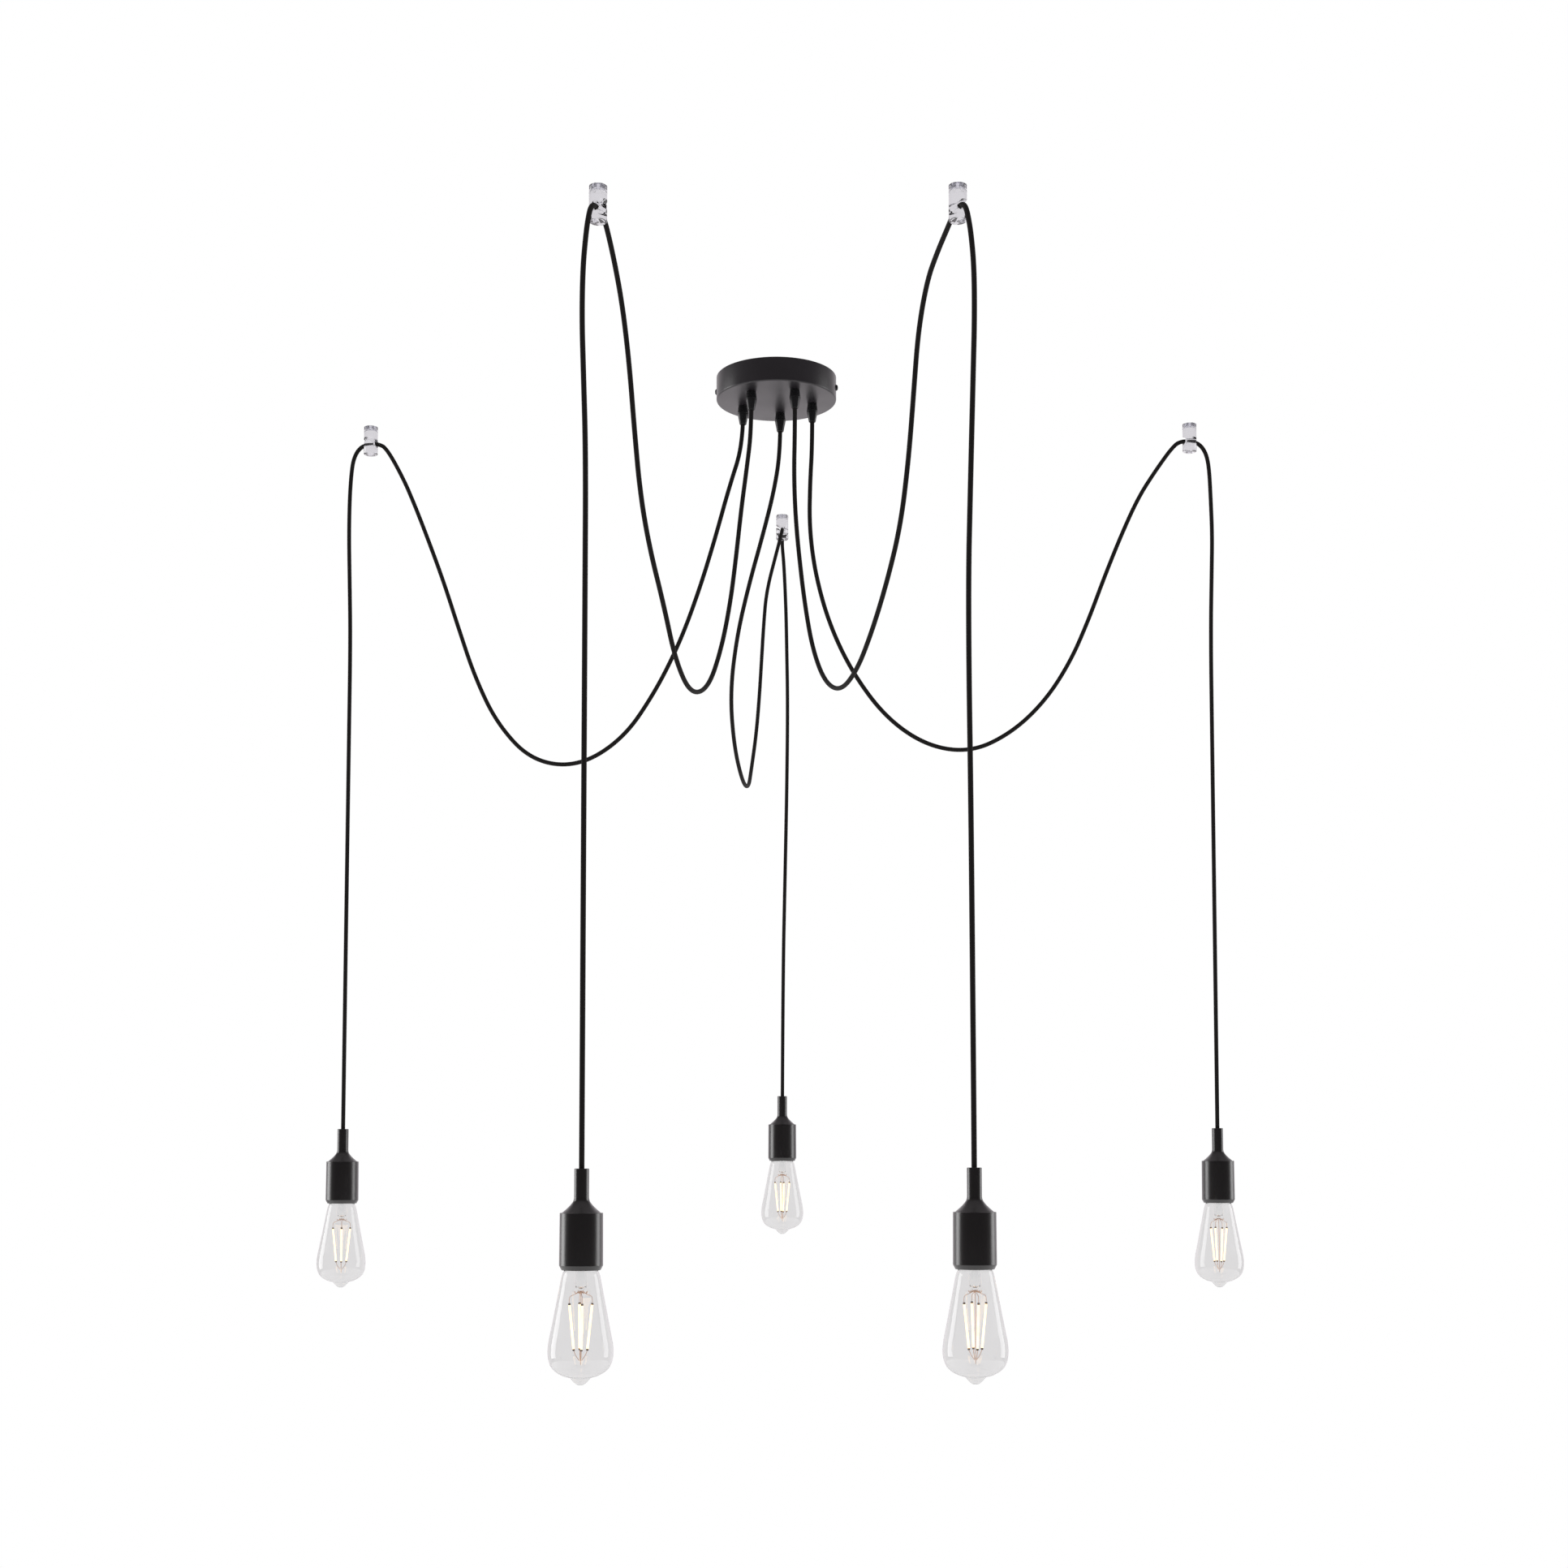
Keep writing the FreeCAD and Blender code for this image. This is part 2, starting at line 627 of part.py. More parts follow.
# ---- the assembly ----
def write(name, solids):
    shapes = solids if isinstance(solids, list) else [solids]
    for shape in shapes:
        if not shape.isValid() or len(shape.Solids) != 1:
            raise ValueError(name + " isn't a sound solid")
    whole = Part.makeCompound([shape.Solids[0] for shape in shapes])
    whole.exportStep("parts/" + name + ".step")


def at_grips(shape):
    places = [grip_place(pendant[1]) for pendant in PENDANTS]
    return [moved(shape, p.x, p.y, 0) for p in places]


def at_hook(shape, pendant):
    hook, out, aside = hook_frame(pendant)
    return moved(around(shape, math.degrees(math.atan2(out.y, out.x))), hook.x, hook.y, 0)


def write_root():
    write("canopy", canopy())
    write("ceiling_bracket", ceiling_bracket())
    write("canopy_screws", canopy_screws())
    write("terminal_block", terminal_block())
    write("cord_grips", at_grips(cord_grip()))
    write("grip_caps", at_grips(grip_cap()))
    write("grip_nuts", at_grips(grip_nut()))
    write("hook_bases", [at_hook(hook_base(), pendant) for pendant in PENDANTS])


def write_pendants():
    hook = hook_body()
    lamp_pieces = {"socket_sleeve": [socket_sleeve()], "socket_insert": [socket_insert()],
                   "socket_contacts": socket_contacts(), "bulb_glass": bulb_glass(), "bulb_cap": [bulb_cap()],
                   "bulb_contact": [bulb_contact()], "bulb_filaments": bulb_filaments()}
    for pendant in PENDANTS:
        name, lamp = pendant[0], lamp_place(pendant)
        write(name + "_hook", at_hook(hook, pendant))
        write(name + "_cord_swag", cord(name + " swag", swag_route(pendant), cord_bend_r))
        write(name + "_cord_drop", cord(name + " drop", drop_route(pendant)))
        for piece, shapes in lamp_pieces.items():
            write(name + "_" + piece, [moved(shape, lamp.x, lamp.y, lamp.z) for shape in shapes])


os.makedirs("parts", exist_ok=True)
write_root()
write_pendants()
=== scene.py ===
"""Dresses a cluster pendant: braided cords, clear ceiling hooks, lampholder sleeves and lit bulbs."""
from math import atan2, cos, hypot, pi, radians, sin, tan

import bpy
import numpy as np
from bpy.props import FloatProperty, FloatVectorProperty, IntProperty, PointerProperty
from bpy.types import NodeSocket, Operator, Panel, PropertyGroup
from mathutils import Matrix


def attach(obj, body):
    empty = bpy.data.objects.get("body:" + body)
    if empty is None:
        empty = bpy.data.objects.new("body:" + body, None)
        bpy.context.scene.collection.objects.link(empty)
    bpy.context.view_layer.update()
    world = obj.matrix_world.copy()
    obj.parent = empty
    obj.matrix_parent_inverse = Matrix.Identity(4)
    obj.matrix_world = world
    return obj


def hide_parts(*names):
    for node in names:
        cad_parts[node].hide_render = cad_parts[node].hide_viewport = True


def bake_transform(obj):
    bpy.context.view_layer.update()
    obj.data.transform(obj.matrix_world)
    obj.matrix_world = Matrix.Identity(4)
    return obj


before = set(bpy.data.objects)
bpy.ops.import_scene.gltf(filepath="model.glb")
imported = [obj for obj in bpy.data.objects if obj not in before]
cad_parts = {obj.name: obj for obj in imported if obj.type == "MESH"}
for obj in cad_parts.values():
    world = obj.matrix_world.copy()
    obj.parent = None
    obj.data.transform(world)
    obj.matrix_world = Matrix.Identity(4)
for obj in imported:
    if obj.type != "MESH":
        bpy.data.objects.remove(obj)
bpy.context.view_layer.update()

bl_info = {
    "name": "Cluster pendant dressing",
    "version": (1, 0, 0),
    "blender": (4, 5, 0),
    "location": "3D View > Sidebar > Pendant",
    "description": "Builds the cords, hooks, sleeves, bulbs and finishes of a cluster pendant on its frame",
    "category": "Object",
}

MM = 0.001
ROOT = "ceiling_set"

# ---- places, in metres: name, direction of its cord grip, hook across, hook back, top of its sleeve ----
PLACES = (
    ("front_left", 234.0, -0.181, -0.552, -1.005),
    ("left", 162.0, -0.554, 0.188, -0.956),
    ("rear", 90.0, 0.007, 0.597, -0.900),
    ("right", 18.0, 0.561, 0.176, -0.955),
    ("front_right", 306.0, 0.188, -0.554, -1.004),
)
CANOPY_TURN = -6.0
GRIP_CIRCLE_R = 0.047
GRIP_RING_Z = -0.039
HANG_OUT = 0.027
SEAT_Z = -0.024
CORD_FOOT = -0.0478  # where a cord ends inside its lampholder, from the sleeve's top

# ---- studio: name, place, width and height, watts of each soft box, and the point that they face ----
SOFT_BOXES = (
    ("left_soft_box", (-6, 1.2, -0.5), (3, 4.2), 135),
    ("right_soft_box", (6, 1.3, -0.5), (2.8, 4.2), 95),
)
SOFT_BOX_AIM = (0, 0, -0.7)
# What reflections see: the direction of each ramp, where it starts and ends, and its brightest value.
ROOM_RAMPS = (("Y", 0.35, 0.95, 0.95), ("Z", 0.4, 1, 0.28))
ROOM_DARK = 0.08
ROOM_TINT = (1.0, 0.94, 0.98)
DIFFUSE_SKY = (0.8, 0.8, 0.8)
SKY_THROUGH_GLASS = (0.765, 0.747, 0.752)

# ---- plain finishes: colour, roughness from and to, grain, its depth in mm, metallic, colour shift ----
PLAIN_FINISHES = {
    "floor_paint": ((0.86, 0.86, 0.86), 0.6, 0.75, 60, 0.2, 0, 0.01),
    "screw_black_oxide": ((0.02, 0.02, 0.022), 0.25, 0.4, 2500, 0.01, 0.6),
    "zinc_plate": ((0.62, 0.63, 0.66), 0.25, 0.45, 500, 0.01, 1, 0.12),
    "grip_nut_nylon": ((0.03, 0.03, 0.03), 0.4, 0.55, 900, 0.01),
    "terminal_nylon": ((0.80, 0.79, 0.74), 0.4, 0.6, 900, 0.02, 0, 0.05),
    "phenolic_black": ((0.02, 0.02, 0.02), 0.3, 0.5, 900, 0.01),
    "spring_brass": ((0.72, 0.52, 0.24), 0.2, 0.4, 700, 0.005, 1),
    "cap_rolled_metal": ((0.66, 0.65, 0.62), 0.18, 0.34, 900, 0.005, 1, 0.15),
    "foot_vitrite": ((0.012, 0.012, 0.015), 0.08, 0.2, 400, 0.01),
    "filament_wire": ((0.72, 0.46, 0.32), 0.25, 0.45, 900, 0.002, 1),
    "strip_end_metal": ((0.16, 0.13, 0.11), 0.3, 0.5, 900, 0.002, 0.6),
}

# ---- cord routes, in metres: distance from the grip towards the hook, distance aside if any, height ----
SWAGS = {
    "front_left": (
        (0, -0.080), (0.019, -0.134), (0.042, -0.193), (0.062, -0.256), (0.086, -0.322), (0.122, -0.388),
        (0.172, -0.446), (0.236, -0.466), (0.290, -0.438), (0.330, -0.385), (0.378, -0.333), (0.408, -0.282),
        (0.427, -0.218), (0.443, -0.155), (0.464, -0.100), (0.488, -0.062),
    ),
    "left": (
        (0, -0.080), (0.019, -0.135), (0.038, -0.200), (0.059, -0.264), (0.085, -0.330), (0.119, -0.393),
        (0.164, -0.453), (0.228, -0.486), (0.294, -0.474), (0.344, -0.422), (0.377, -0.358), (0.402, -0.290),
        (0.426, -0.222), (0.451, -0.160), (0.470, -0.115), (0.488, -0.076),
    ),
    "rear": (
        (0, -0.080), (0.012, 0.008, -0.128), (0.030, 0.023, -0.182), (0.052, 0.041, -0.240),
        (0.080, 0.058, -0.304), (0.120, 0.068, -0.372), (0.174, 0.064, -0.434), (0.238, 0.054, -0.472),
        (0.306, 0.047, -0.470), (0.370, 0.044, -0.430), (0.421, 0.038, -0.370), (0.456, 0.034, -0.308),
        (0.484, 0.031, -0.244), (0.505, 0.028, -0.182), (0.517, 0.024, -0.128), (0.515, 0.008, -0.066),
    ),
    "right": (
        (0, -0.084), (-0.003, -0.134), (-0.004, -0.192), (0.004, -0.252), (0.023, -0.316), (0.054, -0.376),
        (0.100, -0.432), (0.157, -0.465), (0.218, -0.469), (0.275, -0.440), (0.323, -0.395), (0.360, -0.340),
        (0.387, -0.282), (0.411, -0.222), (0.436, -0.164), (0.462, -0.110), (0.487, -0.072),
    ),
    "front_right": (
        (0, -0.084), (-0.004, -0.135), (0.002, -0.192), (0.018, -0.252), (0.040, -0.316), (0.070, -0.378),
        (0.116, -0.428), (0.172, -0.450), (0.228, -0.438), (0.278, -0.405), (0.328, -0.360), (0.371, -0.308),
        (0.396, -0.242), (0.412, -0.174), (0.426, -0.112), (0.452, -0.067), (0.480, -0.048),
    ),
}
# Round the hook, from its middle: out, height.
HOOK_PASS = ((-0.024, -0.031), (-0.011, -0.024), (0, -0.024), (0.011, -0.024), (0.020, -0.030),
             (0.0265, -0.042))
# Below the hook. Where a run is over twice as long as the one before it, a point on it keeps the bend short.
DROPS = {
    "front_left": ((0.0295, -0.0015, -0.062), (0.031, -0.004, -0.098), (0.030, -0.005, -0.150),
                   (0.0289, -0.0035, -0.202), (0.027, -0.001, -0.290), (0.027, -0.0008, -0.430)),
    "left": ((0.0295, -0.062), (0.0315, -0.098), (0.031, 0.001, -0.150), (0.0295, 0.0006, -0.202),
             (0.027, -0.290), (0.027, -0.430)),
    "rear": ((0.0295, -0.002, -0.062), (0.031, -0.004, -0.098), (0.030, -0.006, -0.150),
             (0.0289, -0.0069, -0.202), (0.027, -0.0085, -0.290), (0.027, -0.007, -0.430),
             (0.027, -0.0041, -0.570), (0.027, -0.001, -0.720)),
    "right": ((0.0295, -0.062), (0.031, -0.098), (0.032, -0.001, -0.150), (0.0305, -0.0006, -0.202),
              (0.028, -0.290), (0.0278, -0.430)),
    "front_right": ((0.0295, 0.002, -0.062), (0.031, 0.0045, -0.098), (0.030, 0.005, -0.150),
                    (0.029, 0.0037, -0.202), (0.027, 0.001, -0.310), (0.027, -0.003, -0.440),
                    (0.027, -0.0005, -0.700)),
}
# Inside the canopy, from each grip's place: distance in towards the middle, height.
TAIL_ROUTE = ((0, -0.039), (0, -0.024), (0, -0.0135), (0.0035, -0.008), (0.014, -0.008))


def unit(vectors):
    """Vectors of the same directions and a length of one."""
    return vectors / np.linalg.norm(vectors, axis=-1, keepdims=True)


class Pendant:
    """Where one pendant's grip, hook and sleeve top lie, and the level directions out along its cord and
    aside from it."""

    def __init__(self, name, direction, across, back, top):
        turn = radians(direction + CANOPY_TURN)
        self.name, self.direction = name, direction
        self.grip = GRIP_CIRCLE_R * np.array([cos(turn), sin(turn), 0.0])
        self.hook = np.array([across, back, 0.0])
        self.out = unit(self.hook - self.grip)
        self.aside = np.array([-self.out[1], self.out[0], 0.0])
        self.heading = atan2(self.out[1], self.out[0])
        self.lamp = self.hook + self.out * HANG_OUT + [0, 0, top]


PENDANTS = [Pendant(*place) for place in PLACES]


# ==== Settings ====
def length_prop(name, text, default):
    return FloatProperty(name=name, description=text, default=default, min=0, subtype="DISTANCE",
                         unit="LENGTH")


def colour_prop(name, text, default):
    return FloatVectorProperty(name=name, description=text, default=default, subtype="COLOR", min=0, max=1)


class CordSettings(PropertyGroup):
    diameter: length_prop("Diameter", "Outer diameter of the braided cord", 5.5 * MM)
    sides: IntProperty(name="Sides", description="Faces round the cord", default=20, min=8)
    strands: IntProperty(name="Strands", description="Strands that cross round the cord", default=16, min=4)
    lay: length_prop("Lay", "Length of cord in which a strand goes once round", 22 * MM)
    colour: colour_prop("Colour", "Main colour of the braid", (0.0080, 0.0062, 0.0058))
    # The second braid colour is a painted highlight on the strands' crowns; the main colour shows in the
    # gaps as painted shade.
    fleck: colour_prop("Fleck", "Colour of the strands' raised middles", (0.0108, 0.0086, 0.0080))


class CanopySettings(PropertyGroup):
    radius: length_prop("Radius", "Outer radius of the canopy", 76.5 * MM)
    height: length_prop("Height", "Height of the canopy below the ceiling", 30 * MM)
    wall: length_prop("Wall", "Thickness of the canopy's sheet", 1 * MM)
    edge: length_prop("Edge", "Rounding of the lower edge", 2 * MM)
    colour: colour_prop("Colour", "Colour of the coating", (0.0178, 0.0148, 0.0184))
    grip_colour: colour_prop("Grips", "Colour of the cord grips", (0.010, 0.010, 0.011))


class HookSettings(PropertyGroup):
    radius: length_prop("Radius", "Outer radius of a hook", 9.45 * MM)
    height: length_prop("Height", "Height of a hook", 37.7 * MM)
    colour: colour_prop("Tint", "Tint of the clear moulding", (0.90, 0.90, 0.94))


class LampSettings(PropertyGroup):
    sleeve_radius: length_prop("Sleeve radius", "Largest radius of the sleeve", 21.5 * MM)
    sleeve_colour: colour_prop("Sleeve", "Colour of the silicone", (0.0064, 0.0044, 0.0046))
    glass_radius: length_prop("Glass radius", "Largest radius of the bulb", 32.1 * MM)
    glass_wall: length_prop("Glass wall", "Thickness of the blown glass", 0.8 * MM)
    glow: FloatProperty(name="Glow", description="Strength of the lit filaments", default=2, min=0)
    glow_colour: colour_prop("Glow colour", "Colour of the lit filaments", (1.0, 0.70, 0.38))


class StageSettings(PropertyGroup):
    place: FloatVectorProperty(name="Place", description="Where the camera stands",
                               default=(0.0098, -2.720, -0.995), subtype="TRANSLATION", unit="LENGTH")
    lens: FloatProperty(name="Lens", description="Focal length of the camera", default=50.0, unit="CAMERA")
    pitch: FloatProperty(name="Pitch", description="Angle that the camera looks up",
                         default=radians(4.27), subtype="ANGLE", unit="ROTATION")
    shift: FloatProperty(name="Shift", description="Upward shift of the picture", default=0.135)
    floor_drop: length_prop("Floor", "Depth of the floor below the ceiling", 2.6)
    floor_radius: length_prop("Floor radius", "Radius of the round floor", 4.0)


# ==== Surfaces ====
def linked(name, data):
    """A new object in the scene."""
    thing = bpy.data.objects.new(name, data)
    bpy.context.scene.collection.objects.link(thing)
    return thing


def make_piece(name, verts, faces, uv=None, smooth_angle=None):
    """A mesh object at the origin. uv, if given, is one pair per face corner."""
    mesh = bpy.data.meshes.new(name)
    mesh.from_pydata(np.asarray(verts, dtype=float).tolist(), [], faces)
    mesh.shade_smooth()
    if smooth_angle is not None:
        mesh.set_sharp_from_angle(angle=radians(smooth_angle))
    if uv is not None:
        layer = mesh.uv_layers.new(name="UVMap")
        layer.data.foreach_set("uv", np.asarray(uv, dtype=np.float32).ravel())
    mesh.update()
    return linked(name, mesh)


def ring_faces(rows, cols, closed):
    """Quads between neighbouring rings of points, numbered ring by ring, with each ring closed on itself.
    Where closed is true the last ring also meets the first."""
    row = np.arange(rows if closed else rows - 1)[:, None]
    col = np.arange(cols)[None, :]
    below, beside = (row + 1) % rows, (col + 1) % cols
    quads = [row * cols + col, row * cols + beside, below * cols + beside, below * cols + col]
    return np.stack(quads, axis=-1).reshape(-1, 4)


def capped(rows, cols):
    """Quads between rings of points, with one face over the first ring and one over the last."""
    ends = [list(range(cols))[::-1], list(range(cols * (rows - 1), cols * rows))]
    return ring_faces(rows, cols, False).tolist() + ends


def round_z(r, z, sides):
    """Points (r cos a, r sin a, z) for equal steps of the angle a, one ring for each row of r and z."""
    a = np.linspace(0, 2 * np.pi, sides, endpoint=False)
    return np.stack(np.broadcast_arrays(r * np.cos(a), r * np.sin(a), z), axis=-1).reshape(-1, 3)


def revolve(profile, sides, closed):
    """Surface of revolution about Z of a profile of (r, z) points. An open profile starts and ends on the
    axis, and there a fan closes the surface. The profile runs so that the solid lies on its left, seen with
    Z up and r to the right."""
    profile = np.asarray(profile, dtype=float)
    rings = profile if closed else profile[1:-1]
    verts = round_z(rings[:, :1], rings[:, 1:], sides)
    faces = ring_faces(len(rings), sides, closed).tolist()
    if closed:
        return verts, faces
    first, last = len(verts), len(verts) + 1
    verts = np.vstack([verts, [0, 0, profile[0, 1]], [0, 0, profile[-1, 1]]])
    step = np.arange(sides)
    beside = (step + 1) % sides
    top = np.stack([np.full(sides, first), beside, step], axis=-1)
    base = (len(rings) - 1) * sides
    bottom = np.stack([base + step, base + beside, np.full(sides, last)], axis=-1)
    return verts, faces + top.tolist() + bottom.tolist()


def rounded(corners, steps=5):
    """A profile through (r, z, rounding) corners: each corner with a rounding becomes the arc that touches
    both its sides, at equal steps of its angle. The first and last corners stay."""
    pts, nearly_straight = np.asarray(corners, dtype=float), radians(89.4)
    line = [pts[:1, :2]]
    for before, here, after in zip(pts, pts[1:], pts[2:]):
        a, b = unit(before[:2] - here[:2]), unit(after[:2] - here[:2])
        half = np.arccos(np.clip(a @ b, -1, 1)) / 2
        if here[2] <= 0 or half > nearly_straight:
            line.append(here[None, :2])
            continue
        reach = here[2] / np.tan(half)
        centre = here[:2] + unit(a + b) * here[2] / np.sin(half)
        start, end = here[:2] + a * reach - centre, here[:2] + b * reach - centre
        t0, t1 = np.arctan2(start[1], start[0]), np.arctan2(end[1], end[0])
        t1 = t0 + (t1 - t0 + np.pi) % (2 * np.pi) - np.pi
        t = np.linspace(t0, t1, steps + 1)[:, None]
        line.append(centre + here[2] * np.hstack([np.cos(t), np.sin(t)]))
    line.append(pts[-1:, :2])
    return np.vstack(line)


def flowing(points, steps):
    """A smooth line through every point, as a Catmull-Rom cubic between neighbours, in equal steps."""
    p = np.asarray(points, dtype=float)
    p = np.vstack([2 * p[0] - p[1], p, 2 * p[-1] - p[-2]])
    a, b, c, d = p[:-3, None], p[1:-2, None], p[2:-1, None], p[3:, None]
    t = np.linspace(0, 1, steps, endpoint=False)[None, :, None]
    line = 2 * b + (c - a) * t + (2 * a - 5 * b + 4 * c - d) * t ** 2 + (3 * b - a - 3 * c + d) * t ** 3
    return np.vstack([0.5 * line.reshape(-1, p.shape[1]), p[-2:-1]])


def inward(profile, wall):
    """The profile moved by the wall along its normal, towards the axis for a profile that runs downwards."""
    along = unit(np.gradient(profile, axis=0))
    return profile + wall * np.stack([along[:, 1], -along[:, 0]], axis=1)


def gaps(path):
    """Distances between neighbouring points."""
    return np.linalg.norm(np.diff(path, axis=0), axis=1)


def tube(path, radius, aside, sides):
    """A round bar along a path: at each point the ring radius * (cos a * n + sin a * m), where m is the
    direction aside made square to the path and n = m x path. Both ends are closed by a face.
    Also gives one uv pair per face corner: turns round the bar, and metres along it."""
    path = np.asarray(path, dtype=float)
    along = unit(np.gradient(path, axis=0))
    m = unit(aside - along * (along @ aside)[:, None])
    n = np.cross(m, along)
    a = np.linspace(0, 2 * np.pi, sides, endpoint=False)[None, :, None]
    rings = path[:, None] + radius * (np.cos(a) * n[:, None] + np.sin(a) * m[:, None])
    quads = ring_faces(len(path), sides, False)
    gone = np.concatenate([[0], np.cumsum(gaps(path))])
    turn = (quads % sides) / sides
    turn[:, 1:3] += quads[:, 1:3] % sides == 0
    uv = np.stack([turn, gone[quads // sides]], axis=-1).reshape(-1, 2)
    return rings.reshape(-1, 3), capped(len(path), sides), np.vstack([uv, np.zeros((2 * sides, 2))])


def slab(outline, low, high):
    """A straight solid along X from low to high, from a closed outline of (y, z) points, anticlockwise."""
    outline = np.asarray(outline, dtype=float)
    n = len(outline)
    x = np.repeat([low, high], n)
    return np.column_stack([x, np.tile(outline, (2, 1))]), capped(2, n)


def oblong(half, low, high):
    """A closed (y, z) outline: a rectangle from -half to half across and from low to high."""
    return [(-half, low), (half, low), (half, high), (-half, high)]


def joined(parts):
    """Several (verts, faces) put together as one."""
    verts, faces, count = [], [], 0
    for v, f in parts:
        verts.append(v)
        faces += [[i + count for i in face] for face in f]
        count += len(v)
    return np.vstack(verts), faces


def shifted(part, x, y, z):
    return part[0] + [x, y, z], part[1]


def turned(verts, angle):
    """Points turned about Z by the angle."""
    c, s = cos(angle), sin(angle)
    return verts @ np.array([[c, -s, 0], [s, c, 0], [0, 0, 1]]).T


def placed(points, origin, out, aside):
    """Points given from an origin as (out, aside, height), or as (out, height) where nothing is aside."""
    p = np.array([(q[0], 0, q[1]) if len(q) == 2 else q for q in points], dtype=float)
    return origin + p[:, :1] * out + p[:, 1:2] * aside + p[:, 2:] * [0, 0, 1]


# ==== Finishes ====
def wire(tree, node, inputs):
    """Gives each input socket of the node its constant, or the output that feeds it."""
    for socket, value in inputs.items():
        if isinstance(value, NodeSocket):
            tree.links.new(value, node.inputs[socket])
        else:
            node.inputs[socket].default_value = value


def add(tree, kind, inputs=None, **settings):
    """A new shader node, with its settings made before its sockets are wired."""
    node = tree.nodes.new("ShaderNode" + kind)
    for key, value in settings.items():
        setattr(node, key, value)
    wire(tree, node, inputs or {})
    return node


def worked(tree, operation, *values):
    """The output of a Math node."""
    return add(tree, "Math", dict(enumerate(values)), operation=operation).outputs[0]


def noise(tree, place, scale, detail):
    return add(tree, "TexNoise", {"Vector": place, "Scale": scale, "Detail": detail}).outputs["Fac"]


def shaded(tree, mask, low, high):
    """A colour that goes from low to high by the mask."""
    return add(tree, "Mix", {"Factor": mask, "A": low, "B": high}, data_type="RGBA").outputs["Result"]


def bumped(tree, height, depth, strength):
    return add(tree, "Bump", {"Height": height, "Distance": depth, "Strength": strength}).outputs["Normal"]


def scaled(colour, factor):
    """A colour with alpha, times one factor or one for each channel."""
    return (*np.clip(np.multiply(colour, factor), 0, 1), 1.0)


def group_tree(name, inputs, outputs):
    """A node group with its sockets: the inputs' defaults, a tuple for a vector, and the outputs' names."""
    tree = bpy.data.node_groups.new(name, "ShaderNodeTree")
    for label, default in inputs.items():
        kind = "NodeSocketVector" if isinstance(default, tuple) else "NodeSocketFloat"
        tree.interface.new_socket(label, in_out="INPUT", socket_type=kind).default_value = default
    for label in outputs:
        tree.interface.new_socket(label, in_out="OUTPUT", socket_type="NodeSocketFloat")
    return tree, tree.nodes.new("NodeGroupInput").outputs, tree.nodes.new("NodeGroupOutput")


def moulded_skin():
    """Fine grain and broad patches: a height for bump and a roughness that changes over the surface."""
    tree, given, result = group_tree(
        "moulded_skin", {"Vector": (0, 0, 0), "Grain": 900.0, "Smooth": 0.3, "Rough": 0.5},
        ("Height", "Roughness", "Patches"))
    place = given["Vector"]
    grain = noise(tree, place, given["Grain"], detail=3)
    patches = noise(tree, place, 28, detail=4)
    spread = add(tree, "MapRange", {"Value": patches, "From Min": 0.3, "From Max": 0.7,
                                    "To Min": given["Smooth"], "To Max": given["Rough"]}).outputs["Result"]
    wire(tree, result, {"Height": grain, "Roughness": spread, "Patches": patches})


def braid_weave():
    """Two sets of strands that cross round a cord: how high the surface stands, and a mask from the gaps to
    the strands' crowns that sets painted shade in the gaps and a painted highlight on the crowns.
    """
    tree, given, result = group_tree("braid_weave", {"UV": (0, 0, 0), "Strands": 16.0, "Lay": 0.022},
                                     ("Height", "Crown"))
    split = add(tree, "SeparateXYZ", {"Vector": given["UV"]}).outputs
    turns = worked(tree, "DIVIDE", split["Y"], given["Lay"])
    waves = []
    for way in ("ADD", "SUBTRACT"):
        strand = worked(tree, "MULTIPLY", worked(tree, way, split["X"], turns), given["Strands"])
        waves.append(worked(tree, "SINE", worked(tree, "MULTIPLY", strand, pi)))
    high = worked(tree, "ABSOLUTE", worked(tree, "MULTIPLY", *waves))
    crown = add(tree, "MapRange", {"Value": high, "From Min": 0.35, "From Max": 0.95}).outputs["Result"]
    wire(tree, result, {"Height": high, "Crown": crown})


def finish_base(name, colour, **sockets):
    """A new Principled material, with constants set on its own sockets."""
    material = bpy.data.materials.new(name)
    material.use_nodes = True
    tree = material.node_tree
    shader = tree.nodes["Principled BSDF"]
    named = {socket.replace("_", " "): value for socket, value in sockets.items()}
    wire(tree, shader, {"Base Color": (*colour, 1.0), **named})
    return material, tree, shader


def skinned(name, colour, smooth, rough, grain, depth, metallic=0, shift=0.25, **sockets):
    """A finish with the moulded skin: its bump's depth in mm, its roughness from smooth to rough, and a
    colour that shifts by a share of itself over the patches."""
    material, tree, shader = finish_base(name, colour, Metallic=metallic, **sockets)
    place = add(tree, "TexCoord").outputs["Object"]
    skin = add(tree, "Group", {"Vector": place, "Grain": grain, "Smooth": smooth, "Rough": rough},
               node_tree=bpy.data.node_groups["moulded_skin"]).outputs
    shade = shaded(tree, skin["Patches"], scaled(colour, 1 - shift), scaled(colour, 1 + shift))
    normal = bumped(tree, skin["Height"], depth * MM, 0.6)
    wire(tree, shader, {"Base Color": shade, "Roughness": skin["Roughness"], "Normal": normal})
    return material


def plain(name):
    """The finish of that name from the table of plain finishes."""
    return skinned(name, *PLAIN_FINISHES[name])


